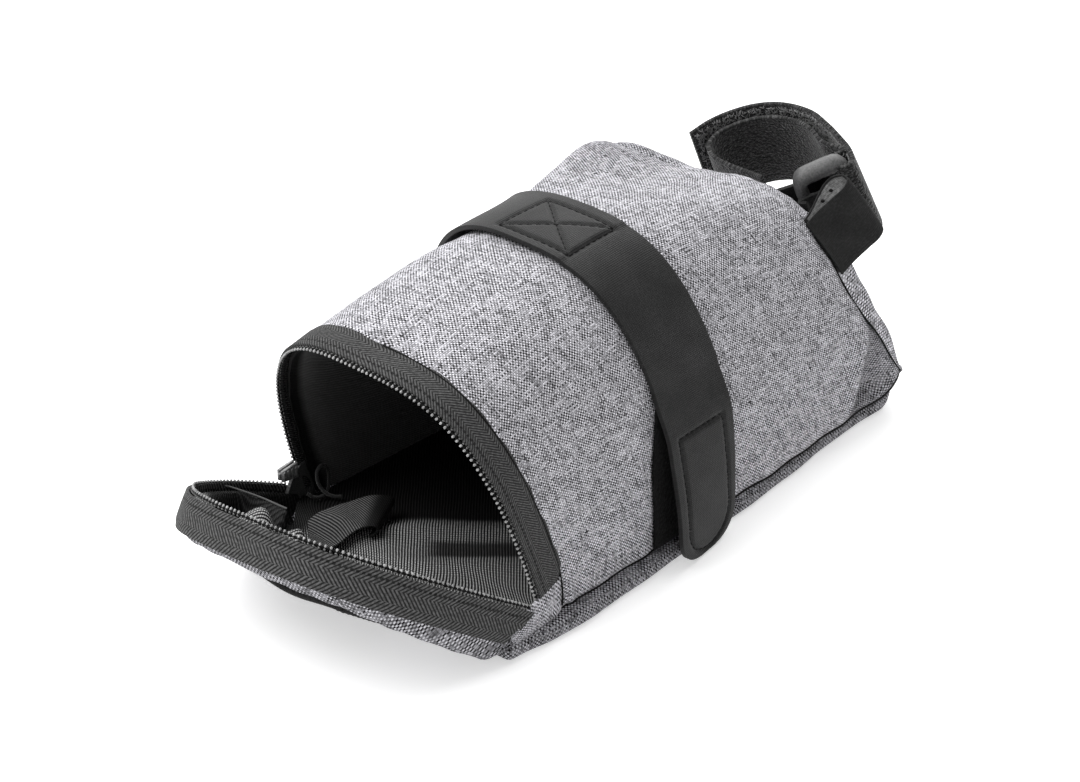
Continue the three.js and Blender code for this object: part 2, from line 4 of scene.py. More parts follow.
import bpy
import numpy as np
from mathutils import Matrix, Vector


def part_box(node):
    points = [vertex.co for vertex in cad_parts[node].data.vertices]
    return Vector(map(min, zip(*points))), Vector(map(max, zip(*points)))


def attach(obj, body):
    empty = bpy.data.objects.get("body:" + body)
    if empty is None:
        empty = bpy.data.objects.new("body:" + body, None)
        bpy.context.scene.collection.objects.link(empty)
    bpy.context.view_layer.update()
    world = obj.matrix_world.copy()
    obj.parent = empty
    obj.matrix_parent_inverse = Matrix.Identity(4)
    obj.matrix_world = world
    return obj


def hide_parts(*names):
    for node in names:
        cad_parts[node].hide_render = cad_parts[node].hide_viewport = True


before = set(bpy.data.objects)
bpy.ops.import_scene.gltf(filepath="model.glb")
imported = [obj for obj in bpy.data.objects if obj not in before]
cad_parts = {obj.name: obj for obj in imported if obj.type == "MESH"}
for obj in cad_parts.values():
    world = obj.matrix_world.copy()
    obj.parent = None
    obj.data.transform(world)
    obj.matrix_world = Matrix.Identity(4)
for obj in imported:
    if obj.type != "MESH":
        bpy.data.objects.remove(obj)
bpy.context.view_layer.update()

# Sizes in millimetres, as in the part
MM = 0.001
CLEAR = 0.3
CLOTH = 2.2
LINING = 1.0
WEBBING = 1.8
TAPE = 1.2
STRAP_WIDTH = 30.0
BASE = {"length": 189.0, "rear_half": 54.6, "front_half": 44.5, "thick": 7.0, "corner": 8.0}
SEAM_Z = BASE["thick"] + CLEAR
BODY_LENGTH = 181.4
MOUTH_Y = -BASE["length"] / 2 + 5
SECTIONS = (
    {"half": 51.4, "height": 74.5, "side": 3.2, "top": 2.55, "lean": 0.289},
    {"half": 49.8, "height": 88.3, "side": 2.95, "top": 2.42, "lean": 0.386},
    {"half": 46.2, "height": 84.1, "side": 2.7, "top": 2.3, "lean": 0.482},
)
FAR_SHOULDER = {"from": 0.5, "swell": 0.22, "angle": 2.19, "spread": 0.28, "skew": 20.4}
TOP_DIP = {"depth": 0.064, "angle": 1.7, "spread": 0.43}
FRONT = {"dome": 3.5, "rim": 2.2, "roll_from": 0.86, "fades_below": 0.16}
CORNER = {
    "long": 32.0, "tall": 34.0, "hollow": 5.0, "ridge": 2.6, "inner_x": 36.0, "width": 9.0,
    "ahead": 3.6, "ahead_rise": 32.0, "up": 5.2, "up_rise": 8.0,
}
BASE_PAD = {
    "rear": -105.0, "front": 96.0, "bevel": 2.6, "voxel": 1.3, "toe_from": 85.0, "toe_run": 11.0,
    "toe_low": 11.6, "toe_high": 5.8, "thinned": 0.7,
}
CUT_ALLOWANCE = {"across": 1.12, "along": 1.03}
FOOT_FLARE = 0.02
ZIP = {"tape": 11.5, "coil": 3.2, "sunk": 0.6, "hinge_z": 12.4, "pitch": 1.7}
FLAP = {
    "half": 51.6, "length": 69.6, "side": 3.2, "top": 2.5, "open": math.radians(31), "roll": 5.4,
    "skew": -0.06, "rim": 11.3, "rim_turn": 0.09, "hinge_floor": 11.9, "floor": 17.4, "tip_floor": 11.8,
    "sag": 11.0, "hinge_y": MOUTH_Y - 2.6,
}
SADDLE = {
    "rear": 64.6, "lean": 0.213, "plumb_below": 52.0, "drop": 6.6, "round": 13.0, "round_power": 2.6,
    "seat": 0.4, "patch_lift": 3.2, "patch_top": 52.0, "patch_run": 18.0, "rear_lift": 3.4, "rear_top": 40.0,
}
POST = {"lean": math.radians(25), "splay": 0.14, "y": 60.5, "z": 78.3, "width": 30.0}
TAPE_SHARE = ZIP["tape"] / BODY_LENGTH


# Small helpers for numbers

def mix(a, b, k):
    return a + (b - a) * k


def smooth(k):
    t = np.clip(k, 0.0, 1.0)
    return t * t * (3 - 2 * t)


def unit(vectors):
    return vectors / np.maximum(np.linalg.norm(vectors, axis=-1, keepdims=True), 1e-9)


def bell(k):
    """1 at zero, falling away on both sides."""
    return np.exp(-(k ** 2))


def run_along(points):
    """How far along its line each point lies."""
    return np.concatenate([[0], np.cumsum(np.linalg.norm(np.diff(points, axis=0), axis=1))])


def sample(at, run, points):
    """The points of a line at these distances along it."""
    return np.stack([np.interp(at, run, column) for column in points.T], -1)


def even(curve, low, high, count):
    """Parameters from low to high that space the curve's points evenly, and the curve's length."""
    fine = np.linspace(low, high, 800)
    run = run_along(curve(fine))
    return np.interp(np.linspace(0, run[-1], count), run, fine), run[-1]


def between(p, q, low, high, t):
    return (high - t) / (high - low) * p + (t - low) / (high - low) * q


def catmull(points, count):
    """Evenly spaced points of a centripetal curve through points."""
    points = np.asarray(points, float)
    ends = [2 * points[0] - points[1]], [2 * points[-1] - points[-2]]
    padded = np.concatenate([ends[0], points, ends[1]])
    fine = []
    for p in (padded[k:k + 4] for k in range(len(points) - 1)):
        k = np.concatenate([[0], np.cumsum([np.linalg.norm(b - a) ** 0.5 for a, b in zip(p, p[1:])])])
        t = np.linspace(k[1], k[2], 24, endpoint=False)[:, None]
        first, middle, last = (between(p[n], p[n + 1], k[n], k[n + 1], t) for n in range(3))
        first = between(first, middle, k[0], k[2], t)
        last = between(middle, last, k[1], k[3], t)
        fine.append(between(first, last, k[1], k[2], t))
    fine = np.concatenate([*fine, points[-1:]])
    run = run_along(fine)
    return sample(np.linspace(0, run[-1], count), run, fine)


# The form of the body

def section(at):
    weights = ((1 - at) * (1 - 2 * at), 4 * at * (1 - at), at * (2 * at - 1))
    return {key: sum(w * row[key] for w, row in zip(weights, SECTIONS)) for key in SECTIONS[0]}


def arch_point(at, angle, share=1.0):
    """A point of the leaning arch at this place along the body, drawn in towards its foot by share."""
    at, angle, share = np.broadcast_arrays(*(np.asarray(v, float) for v in (at, angle, share)))
    row = section(at)
    to_front = smooth((at - FAR_SHOULDER["from"]) / (1 - FAR_SHOULDER["from"]))
    corner = FAR_SHOULDER["swell"] * bell((angle - FAR_SHOULDER["angle"]) / FAR_SHOULDER["spread"])
    dip = TOP_DIP["depth"] * bell((angle - TOP_DIP["angle"]) / TOP_DIP["spread"])
    size = share * (1 + to_front * (corner - dip))
    cosine = np.cos(angle)
    x = size * row["half"] * np.sign(cosine) * np.abs(cosine) ** (2 / row["side"])
    rise = size * row["height"] * np.maximum(np.sin(angle), 0) ** (2 / row["top"])
    far = np.maximum(-x / row["half"], 0)
    skew = FAR_SHOULDER["skew"] * at ** 4 * far * rise / row["height"]
    y = MOUTH_Y + at * BODY_LENGTH - row["lean"] * rise - skew
    return np.stack([x, y, SEAM_Z + rise], -1)


def body_point(at, angle, offset):
    """A point at a distance off the body's surface."""
    step = 0.002
    along = arch_point(at + step, angle) - arch_point(at - step, angle)
    low = np.maximum(angle - step, 0)
    high = np.minimum(angle + step, math.pi)
    normal = unit(np.cross(along, arch_point(at, high) - arch_point(at, low)))
    return arch_point(at, angle) + normal * np.asarray(offset)[..., None]


def angle_at_rise(at, rise):
    """The angle at which the near side of the arch stands this high above the seam."""
    row = section(at)
    return math.asin((rise / row["height"]) ** (row["top"] / 2))


def strap_across(point):
    """How far a point of the body lies in front of the saddle strap's rear edge."""
    rise = point[..., 2] - SEAM_Z
    return point[..., 1] - MOUTH_Y + SADDLE["lean"] * np.maximum(rise, SADDLE["plumb_below"]) - SADDLE["rear"]


# The saddle strap's band over the body

BAND_ANGLES, BAND_LENGTH = even(lambda a: arch_point(0.44, a), 0, math.pi, 201)


def strap_share(y, angle):
    at = np.full(np.broadcast(y, angle).shape, 0.5)
    for _ in range(8):
        row = section(at)
        point = arch_point(at, angle)
        rise = point[..., 2] - SEAM_Z
        slip = MOUTH_Y + at * BODY_LENGTH - row["lean"] * rise - point[..., 1]
        lean = SADDLE["lean"] * np.maximum(rise, SADDLE["plumb_below"])
        at = (y + row["lean"] * rise - lean + slip) / BODY_LENGTH
    return at


def band_point(run, across, offset):
    """A point of the band: run from the near seam up and over, across from the strap's rear edge,
    and offset a function of the height above the seam."""
    run, across = np.broadcast_arrays(np.asarray(run, float), np.asarray(across, float))
    inside = np.clip(run, 0, BAND_LENGTH)
    angle = np.interp(inside / BAND_LENGTH, np.linspace(0, 1, 201), BAND_ANGLES)
    below = np.maximum(np.maximum(-run, run - BAND_LENGTH), 0)
    rise = np.where(below > 0, -below, arch_point(0.44, angle)[..., 2] - SEAM_Z)
    point = body_point(strap_share(SADDLE["rear"] + across, angle), angle, offset(rise))
    point[..., 2] -= below
    return point


def strap_lift(rise, across):
    over_patch = SADDLE["patch_lift"] * smooth((SADDLE["patch_top"] - rise) / SADDLE["patch_run"])
    at_rear = smooth((SADDLE["rear_top"] - rise) / SADDLE["rear_top"]) * (1 - across / STRAP_WIDTH)
    return SADDLE["seat"] + over_patch + SADDLE["rear_lift"] * at_rear


# The open flap

def flap_point(x, w, depth):
    """x across, w from the hinge to the tip, depth outwards from the zip's plane."""
    x, w, depth = np.broadcast_arrays(*(np.asarray(v, float) for v in (x, w, depth)))
    cosine, sine = math.cos(FLAP["open"]), math.sin(FLAP["open"])
    y = FLAP["hinge_y"] - cosine * w - sine * depth
    roll = FLAP["roll"] * (x / FLAP["half"]) * (w / FLAP["length"])
    z = ZIP["hinge_z"] + sine * w + roll - cosine * depth
    return np.stack([x + FLAP["skew"] * w, y, z], -1)


def flap_outline(angle, inset=0.0):
    cosine = np.cos(angle)
    x = (FLAP["half"] - inset) * np.sign(cosine) * np.abs(cosine) ** (2 / FLAP["side"])
    w = (FLAP["length"] - inset) * np.maximum(np.sin(angle), 0) ** (2 / FLAP["top"])
    return x, w


def flap_rim(angle, depth, inset=0.0):
    x, w = flap_outline(angle, inset)
    return flap_point(x, w, depth)


def flap_floor(w):
    near = mix(FLAP["hinge_floor"], FLAP["floor"], smooth(w / FLAP["sag"]))
    away = mix(FLAP["floor"], FLAP["tip_floor"], (w - FLAP["sag"]) / (FLAP["length"] - FLAP["sag"]))
    return np.where(w < FLAP["sag"], near, away)


def flap_turn(share):
    return smooth((share - 1 + FLAP["rim_turn"]) / FLAP["rim_turn"])


def arch_grid(across, up):
    """Maps a half square to the share and angle of a D shape."""
    share = np.maximum(np.abs(across), up)
    safe_up = np.maximum(up, 1e-9)
    safe_across = np.maximum(np.abs(across), 1e-9)
    above = math.pi / 2 - across / safe_up * math.pi / 4
    quarter = up / safe_across * math.pi / 4
    beside = np.where(across > 0, quarter, math.pi - quarter)
    angle = np.where(up >= np.abs(across), above, beside)
    return share, np.where(share < 1e-9, math.pi / 2, angle)


# Node finishes

class Finish:
    """A procedural material while it is being put together."""

    def __init__(self, name, roughness, sheen=0.0):
        self.material = bpy.data.materials.new(name)
        self.material.use_nodes = True
        self.tree = self.material.node_tree
        self.shader = self.tree.nodes["Principled BSDF"]
        self.shader.inputs["Roughness"].default_value = roughness
        self.shader.inputs["Sheen Weight"].default_value = sheen
        self.shader.inputs["Specular IOR Level"].default_value = 0.5 if roughness < 0.6 else 0.2

    def feed(self, socket, value):
        if isinstance(value, bpy.types.NodeSocket):
            self.tree.links.new(value, socket)
        else:
            socket.default_value = value

    def add(self, kind, inputs, output=0, **settings):
        node = self.tree.nodes.new(kind)
        for key, value in settings.items():
            setattr(node, key, value)
        for socket, value in inputs.items():
            self.feed(node.inputs[socket], value)
        return node.outputs[output]

    def math(self, operation, *values):
        return self.add("ShaderNodeMath", dict(enumerate(values)), operation=operation)

    def surface(self):
        """The piece's UV map, in millimetres."""
        split = self.tree.nodes.new("ShaderNodeSeparateXYZ")
        self.feed(split.inputs[0], self.add("ShaderNodeUVMap", {}, uv_map="UVMap"))
        return split.outputs[0], split.outputs[1]

    def place(self):
        return self.add("ShaderNodeTexCoord", {}, "Object")

    def folded(self):
        """Painted shade: from 1 on open cloth to nearly 0 where the piece's fold attribute is 1."""
        fold = self.add("ShaderNodeAttribute", {}, "Fac", attribute_name="fold")
        return self.math("MULTIPLY_ADD", fold, -0.96, 1.0)

    def vector(self, x, y, z=0.0):
        return self.add("ShaderNodeCombineXYZ", {0: x, 1: y, 2: z})

    def noise(self, vector, scale, detail=2.0):
        return self.add("ShaderNodeTexNoise", {"Vector": vector, "Scale": scale, "Detail": detail})

    def random(self, x, y):
        """One random value from 0 to 1 for each whole-numbered place."""
        return self.add("ShaderNodeTexWhiteNoise", {"Vector": self.vector(x, y)}, noise_dimensions="2D")

    def spread(self, value, low, high, new_low=0.0, new_high=1.0):
        inputs = {0: value, 1: low, 2: high, 3: new_low, 4: new_high}
        return self.add("ShaderNodeMapRange", inputs)

    def wave(self, value, pitch):
        """A rounded rib, from 0 between two threads to 1 on top of one."""
        turn = self.math("MULTIPLY", self.math("FRACT", self.math("DIVIDE", value, pitch)), math.pi)
        return self.math("SINE", turn)

    def ramp(self, value, stops):
        node = self.tree.nodes.new("ShaderNodeValToRGB")
        points = node.color_ramp.elements
        while len(points) < len(stops):
            points.new(0.5)
        for point, (place, color) in zip(points, stops):
            point.position = place
            point.color = (*color, 1)
        self.feed(node.inputs[0], value)
        return node.outputs[0]

    def shade(self, color, amount):
        """The colour darkened by an amount from 0 to 1."""
        grey = self.add("ShaderNodeCombineColor", {0: amount, 1: amount, 2: amount})
        node = self.tree.nodes.new("ShaderNodeMix")
        node.data_type = "RGBA"
        node.blend_type = "MULTIPLY"
        for index, value in ((0, 1.0), (6, color), (7, grey)):
            self.feed(node.inputs[index], value)
        return node.outputs[2]

    def relief(self, height, depth_mm, strength=1.0):
        inputs = {"Height": height, "Distance": depth_mm * MM, "Strength": strength}
        self.feed(self.shader.inputs["Normal"], self.add("ShaderNodeBump", inputs))

    def color(self, value):
        self.feed(self.shader.inputs["Base Color"], value)
        return self.material


def grey(value):
    return (value, value, value)


def heather(value):
    """A grey of the melange cloth, which leans to violet."""
    return (value * 1.012, value, value * 1.065)


def plain_weave(name, tones, pitch=0.66, slub=0.13, contrast=0.205, apart=0.13, grain=0.13, depth=0.18):
    """Plain weave with slubby yarns: tones are the greys of the darkest, middle and lightest yarn, apart
    is how much paler the warp is than the weft, and grain how much one crossing differs from the next. The
    colour carries painted shade: darker between the yarns, and darker where the fold attribute is high."""
    f = Finish(name, 0.95)
    u_mm, v_mm = f.surface()
    u = f.math("DIVIDE", u_mm, pitch)
    v = f.math("DIVIDE", v_mm, pitch)
    warp_row = f.math("FLOOR", u)
    weft_row = f.math("FLOOR", v)
    over = f.math("FLOORED_MODULO", f.math("ADD", warp_row, weft_row), 2.0)
    warp = f.noise(f.vector(f.math("MULTIPLY", warp_row, 5.73), f.math("MULTIPLY", v, slub)), 1.0)
    weft = f.noise(f.vector(f.math("MULTIPLY", u, slub), f.math("MULTIPLY", weft_row, 5.73), 9.0), 1.0)
    warp = f.math("ADD", warp, apart)
    weft = f.math("SUBTRACT", weft, apart)
    tone = f.add("ShaderNodeMix", {0: over, 2: warp, 3: weft})
    cloud = f.noise(f.vector(u_mm, v_mm), 0.09, 3.0)
    tone = f.math("ADD", tone, f.spread(cloud, 0.3, 0.7, -0.02, 0.02))
    tone = f.math("ADD", tone, f.spread(f.random(warp_row, weft_row), 0.0, 1.0, -grain / 2, grain / 2))
    tone = f.spread(tone, 0.5 - contrast, 0.5 + contrast)
    rib_u = f.wave(u_mm, pitch)
    rib_v = f.wave(v_mm, pitch)
    warp_up = f.math("MULTIPLY", rib_u, f.math("MULTIPLY_ADD", rib_v, 0.45, 0.55))
    weft_up = f.math("MULTIPLY", rib_v, f.math("MULTIPLY_ADD", rib_u, 0.45, 0.55))
    height = f.add("ShaderNodeMix", {0: over, 2: warp_up, 3: weft_up})
    f.relief(height, depth)
    color = f.ramp(tone, [(k / 2, heather(level)) for k, level in enumerate(tones)])
    # painted shade: darker between yarns by yarn height, and near black where the fold attribute marks
    # painted shade
    painted_shade_factor = f.math("MULTIPLY", f.math("MULTIPLY_ADD", height, 0.6, 0.4), f.folded())
    return f.color(f.shade(color, painted_shade_factor))


def twill(name, pitch, dark, light, depth, roughness):
    """Lining with fine diagonal ribs, their tops painted pale as painted sheen and the grooves between them
    dark as painted shade.
    """
    f = Finish(name, roughness)
    u, v = f.surface()
    drift = f.noise(f.vector(u, v), 0.05, 2.0)
    slope = f.math("ADD", f.math("ADD", u, v), f.math("MULTIPLY", drift, 1.5))
    rib = f.wave(slope, pitch)
    cross = f.wave(f.math("SUBTRACT", u, v), pitch * 0.74)
    fibre = f.noise(f.vector(u, v), 2.2, 3.0)
    tone = f.math("MULTIPLY", f.math("POWER", rib, 3.6), f.spread(fibre, 0.3, 0.75, 0.6, 1.15))
    tone = f.math("MULTIPLY", tone, f.math("MULTIPLY_ADD", cross, 0.85, 0.15))
    f.relief(f.math("MULTIPLY_ADD", cross, 0.4, rib), depth)
    return f.color(f.shade(f.ramp(tone, ((0.05, dark), (0.95, light))), f.folded()))


def herringbone(name, dark, light, pitch):
    """Zip tape: sewing beside the coil, then columns of slanted ribs that turn about. The rib tops are
    painted paler than the grooves: painted sheen on the dark tape.
    """
    f = Finish(name, 0.8)
    along, across = f.surface()
    column = f.math("FLOOR", f.math("DIVIDE", across, 4.2))
    side = f.math("MULTIPLY_ADD", f.math("FLOORED_MODULO", column, 2.0), 2.0, -1.0)
    slant = f.math("ADD", along, f.math("MULTIPLY", side, across))
    rib = f.wave(slant, pitch)
    thread = f.wave(f.math("SUBTRACT", across, f.math("MULTIPLY", side, along)), 0.5)
    fibre = f.noise(f.vector(along, across), 1.1, 4.0)
    tone = f.math("MULTIPLY", f.math("POWER", rib, 1.7), f.math("MULTIPLY_ADD", thread, 0.5, 0.5))
    tone = f.math("MULTIPLY", tone, f.spread(fibre, 0.3, 0.7, 0.3, 1.3))
    in_row = f.math("LESS_THAN", f.math("ABSOLUTE", f.math("SUBTRACT", across, 2.2)), 0.42)
    in_stitch = f.math("LESS_THAN", f.math("FRACT", f.math("DIVIDE", along, ZIP["pitch"])), 0.55)
    hole = f.math("MULTIPLY", in_row, in_stitch)
    height = f.math("SUBTRACT", f.math("MULTIPLY_ADD", thread, 0.3, rib), hole)
    f.relief(height, 0.16)
    color = f.ramp(tone, ((0.0, dark), (0.9, light)))
    return f.color(f.shade(color, f.math("MULTIPLY_ADD", hole, -0.8, 1.0)))


def webbing(name, tone, depth, roughness=0.75, sheen=0.0):
    """Flat woven band: fine cross ribs, long yarns and a faint dusting of lighter fibres."""
    f = Finish(name, roughness, sheen)
    along, across = f.surface()
    rib = f.wave(along, 0.62)
    yarn = f.wave(across, 0.8)
    fibre = f.noise(f.vector(f.math("MULTIPLY", along, 0.5), across), 1.7, 5.0)
    cloud = f.noise(f.vector(along, across), 0.12, 2.0)
    height = f.math("MULTIPLY", rib, f.math("MULTIPLY_ADD", yarn, 0.5, 0.5))
    f.relief(f.math("MULTIPLY_ADD", fibre, 0.35, height), depth)
    level = f.math("ADD", f.math("MULTIPLY", fibre, 0.6), f.math("MULTIPLY", cloud, 0.4))
    color = f.ramp(level, ((0.34, grey(tone * 0.4)), (0.5, grey(tone)), (0.66, grey(tone * 1.9))))
    # painted shade: the colour darkens between the ribs by rib height
    return f.color(f.shade(color, f.math("MULTIPLY_ADD", height, 0.3, 0.7)))


def pile(name, dark, light, depth, sheen=0.3):
    """Fuzzy hook-and-loop face."""
    f = Finish(name, 0.95, sheen)
    u, v = f.surface()
    curl = f.noise(f.vector(u, v), 1.5, 4.0)
    tuft = f.add("ShaderNodeTexVoronoi", {"Vector": f.vector(u, v), "Scale": 1.15})
    height = f.math("SUBTRACT", f.math("MULTIPLY", curl, 1.2), tuft)
    f.relief(height, depth)
    return f.color(f.ramp(height, ((0.0, dark), (0.62, light))))


def moulded(name, tone, roughness, grain):
    """Moulded plastic with a fine spark-eroded grain, a little paler on worn high spots."""
    f = Finish(name, roughness)
    place = f.place()
    speck = f.noise(place, grain, 3.0)
    cloud = f.noise(place, grain * 0.06, 2.0)
    f.relief(speck, 0.05, 0.5)
    level = f.math("ADD", f.math("MULTIPLY", speck, 0.5), f.math("MULTIPLY", cloud, 0.5))
    f.feed(f.shader.inputs["Roughness"], f.spread(cloud, 0.3, 0.7, roughness - 0.08, roughness + 0.12))
    return f.color(f.ramp(level, ((0.36, grey(tone * 0.55)), (0.64, grey(tone * 1.5)))))


def twisted(name, tone, pitch, sheen=0.2):
    """Sewing thread or cord, twisted round its own length."""
    f = Finish(name, 0.7, sheen)
    place = f.place()
    ply = f.add("ShaderNodeTexWave", {"Vector": place, "Scale": 1 / (pitch * MM), "Distortion": 2.0},
                bands_direction="DIAGONAL")
    fibre = f.noise(place, 4000.0, 2.0)
    f.relief(f.math("MULTIPLY_ADD", fibre, 0.4, ply), 0.12)
    return f.color(f.ramp(ply, ((0.1, grey(tone * 0.5)), (0.8, grey(tone * 1.4)))))


MELANGE = plain_weave("melange_cloth", (0.03, 0.5, 1.0))
# A darker copy of the melange cloth for the base and the flap's outside: painted shade
SHADED_MELANGE = plain_weave("melange_cloth_shaded_copy", (0.01, 0.26, 0.66))
# Three copies of one black lining in different tones: pale rib tops are painted sheen and dark grooves
# painted shade, palest on the floor and flap linings, dimmer on the leaf and the inside walls
LINING_FINISH = twill("ribbed_lining", 1.3, grey(0.003), grey(0.72), 0.16, 0.6)
LEAF_FINISH = twill("leaf_lining", 0.85, grey(0.005), grey(0.28), 0.1, 0.6)
DEEP_LINING_FINISH = twill("dark_lining", 1.05, grey(0.08), grey(0.15), 0.1, 0.8)
BINDING_FINISH = twisted("binding_tape", 0.16, 0.6)
TAPE_FINISH = herringbone("herringbone_tape", grey(0.003), grey(0.14), 1.45)
FINE_TAPE_FINISH = herringbone("fine_tape", grey(0.004), grey(0.125), 1.2)
STRAP_FINISH = webbing("strap_webbing", 0.0115, 0.08, 0.62, 0.08)
SMOOTH_WEBBING_FINISH = webbing("smooth_webbing", 0.014, 0.08)
CUT_EDGE_FINISH = webbing("webbing_cut_edge", 0.06, 0.08)
PILE_FINISH = pile("hook_loop_pile", grey(0.004), grey(0.07), 0.5)
CURL_FINISH = twisted("pile_curls", 0.42, 0.4)
# Near-black pile for the loop strips and hook pads: real black pile, darkened further as painted shade under
# the strap's ends
DARK_PILE_FINISH = pile("dark_pile", grey(0.002), grey(0.006), 0.4, 0.0)
# The coil's black nylon teeth are given a pale grey: painted glints
COIL_GLINT_FINISH = moulded("coil_painted_glint", 0.372, 0.3, 900.0)
PLASTIC_FINISH = moulded("ring_plastic", 0.085, 0.5, 1500.0)
METAL_FINISH = moulded("slider_enamel", 0.24, 0.3, 1500.0)
THREAD_FINISH = twisted("sewing_thread", 0.003, 0.5, 0.0)
CORD_FINISH = twisted("puller_cord", 0.02, 0.9)
TAG_EDGE_FINISH = webbing("tag_cut_edge", 0.085, 0.1, 0.9)


# Making pieces

def settle(piece, material, replaced=()):
    """Gives a piece its finish, its body and the nodes that it stands for."""
    piece.data.materials.clear()
    for finish in material if isinstance(material, (list, tuple)) else [material]:
        piece.data.materials.append(finish)
    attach(piece, "root")
    if replaced:
        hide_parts(*replaced)
    return piece


def alone(piece):
    """Makes a piece the only one selected, and the active one."""
    bpy.ops.object.select_all(action="DESELECT")
    piece.select_set(True)
    bpy.context.view_layer.objects.active = piece


def in_edit_mode(operator, **settings):
    """Runs a mesh operator on the whole of the active piece."""
    bpy.ops.object.mode_set(mode="EDIT")
    bpy.ops.mesh.select_all(action="SELECT")
    operator(**settings)
    bpy.ops.object.mode_set(mode="OBJECT")


def apply_modifiers(piece):
    alone(piece)
    for modifier in list(piece.modifiers):
        bpy.ops.object.modifier_apply(modifier=modifier.name)
    bpy.ops.object.shade_smooth_by_angle(angle=math.radians(40))


def thicken(piece, thickness, outward=False, edge=0.0, finishes=1):
    """Turns a sheet into a wall, and rounds its cut edges."""
    wall = piece.modifiers.new("wall", "SOLIDIFY")
    wall.thickness = thickness * MM
    wall.offset = 1 if outward else -1
    wall.use_quality_normals = True
    if finishes > 1:
        for _ in range(finishes):
            piece.data.materials.append(STRAP_FINISH)
        wall.material_offset = finishes - 2
        wall.material_offset_rim = finishes - 1
    if edge:
        soft = piece.modifiers.new("edge", "BEVEL")
        soft.width = edge * MM
        soft.segments = 2
        soft.limit_method = "ANGLE"
        soft.angle_limit = math.radians(50)
    apply_modifiers(piece)


def laid_grid(name, rows, cols, place, flat, fold=None):
    """A flat grid whose points are moved to their places. place and flat take s along the rows and t
    across them, from 0 to 1, and give the points and the UV map in millimetres. fold, if given, tells
    how much painted shade darkens the cloth there, from 0 to 1, kept as the piece's fold attribute."""
    bpy.ops.object.select_all(action="DESELECT")
    bpy.ops.mesh.primitive_grid_add(x_subdivisions=cols, y_subdivisions=rows, size=1)
    piece = bpy.context.object
    piece.name = name
    mesh = piece.data
    mesh.name = name
    points = np.empty(len(mesh.vertices) * 3)
    mesh.vertices.foreach_get("co", points)
    points = points.reshape(-1, 3) + 0.5
    s, t = points[:, 1], points[:, 0]
    mesh.vertices.foreach_set("co", (place(s, t) * MM).ravel())
    corner = np.empty(len(mesh.loops), int)
    mesh.loops.foreach_get("vertex_index", corner)
    u, v = flat(s, t)
    pairs = np.stack([np.broadcast_to(u, s.shape), np.broadcast_to(v, s.shape)], -1)[corner]
    mesh.uv_layers["UVMap"].data.foreach_set("uv", pairs.ravel())
    if fold:
        mesh.attributes.new("fold", "FLOAT", "POINT").data.foreach_set("value", fold(s, t))
    mesh.update()
    return piece


def sheet(piece, wall, finish, node, edge=0.0):
    thicken(piece, wall, edge=edge)
    settle(piece, finish, [node])


def boxed_uv(piece):
    """A UV map in millimetres, each face laid out along the axes that it faces least."""
    mesh = piece.data
    layer = mesh.uv_layers.get("UVMap") or mesh.uv_layers.new(name="UVMap")
    for face in mesh.polygons:
        axis = max(range(3), key=lambda k: abs(face.normal[k]))
        first, second = ((1, 2), (0, 2), (0, 1))[axis]
        for loop in face.loop_indices:
            point = mesh.vertices[mesh.loops[loop].vertex_index].co
            layer.data[loop].uv = (point[first] / MM, point[second] / MM)


def unit_mesh(maker):
    """The points and faces of a small form that a maker builds with operators, which is then removed."""
    bpy.ops.object.select_all(action="DESELECT")
    maker()
    model = bpy.context.object
    points = np.array([vertex.co for vertex in model.data.vertices])
    faces = [tuple(face.vertices) for face in model.data.polygons]
    bpy.data.objects.remove(model, do_unlink=True)
    return points, faces


def scattered(name, form, places, frames):
    """One mesh of many copies of a small form, each turned by its frame and moved to its place."""
    points, faces = form
    count = len(places)
    turned = np.einsum("nij,pj->npi", frames, points) + places[:, None]
    mesh = bpy.data.meshes.new(name)
    shifted = [tuple(k + n * len(points) for k in face) for n in range(count) for face in faces]
    mesh.from_pydata((turned.reshape(-1, 3) * MM).tolist(), [], shifted)
    mesh.update()
    piece = bpy.data.objects.new(name, mesh)
    bpy.context.collection.objects.link(piece)
    apply_modifiers(piece)
    return piece


def stitch_form():
    """One stitch, a millimetre long and wide: a short rod with rounded ends."""
    bpy.ops.mesh.primitive_cylinder_add(vertices=6, radius=0.5, depth=0.7, rotation=(0, math.pi / 2, 0))
    bpy.ops.object.transform_apply(rotation=True)
    in_edit_mode(bpy.ops.mesh.bevel, offset=0.16, segments=1)


STITCH = unit_mesh(stitch_form)


def along_frames(points, normals):
    """Frames whose first axis follows the points and whose third stands along the normals."""
    along = unit(np.gradient(points, axis=0))
    side = unit(np.cross(normals, along))
    return np.stack([along, side, np.cross(along, side)], -1)


def stitches(name, rows, length, gap, thick):
    """Rows of stitches. Each row gives points along its line and the outward normals there."""
    places = []
    frames = []
    for points, normals in rows:
        run = run_along(points)
        count = max(int(run[-1] / (length + gap)), 1)
        at = (np.arange(count) + 0.5) * run[-1] / count
        centre = sample(at, run, points)
        out = unit(sample(at, run, normals))
        turn = along_frames(centre, out) if count > 1 else along_frames(points, normals)[:1]
        places.append(centre)
        frames.append(turn * np.array([length, thick, thick]))
    piece = scattered(name, STITCH, np.concatenate(places), np.concatenate(frames))
    return settle(piece, THREAD_FINISH)


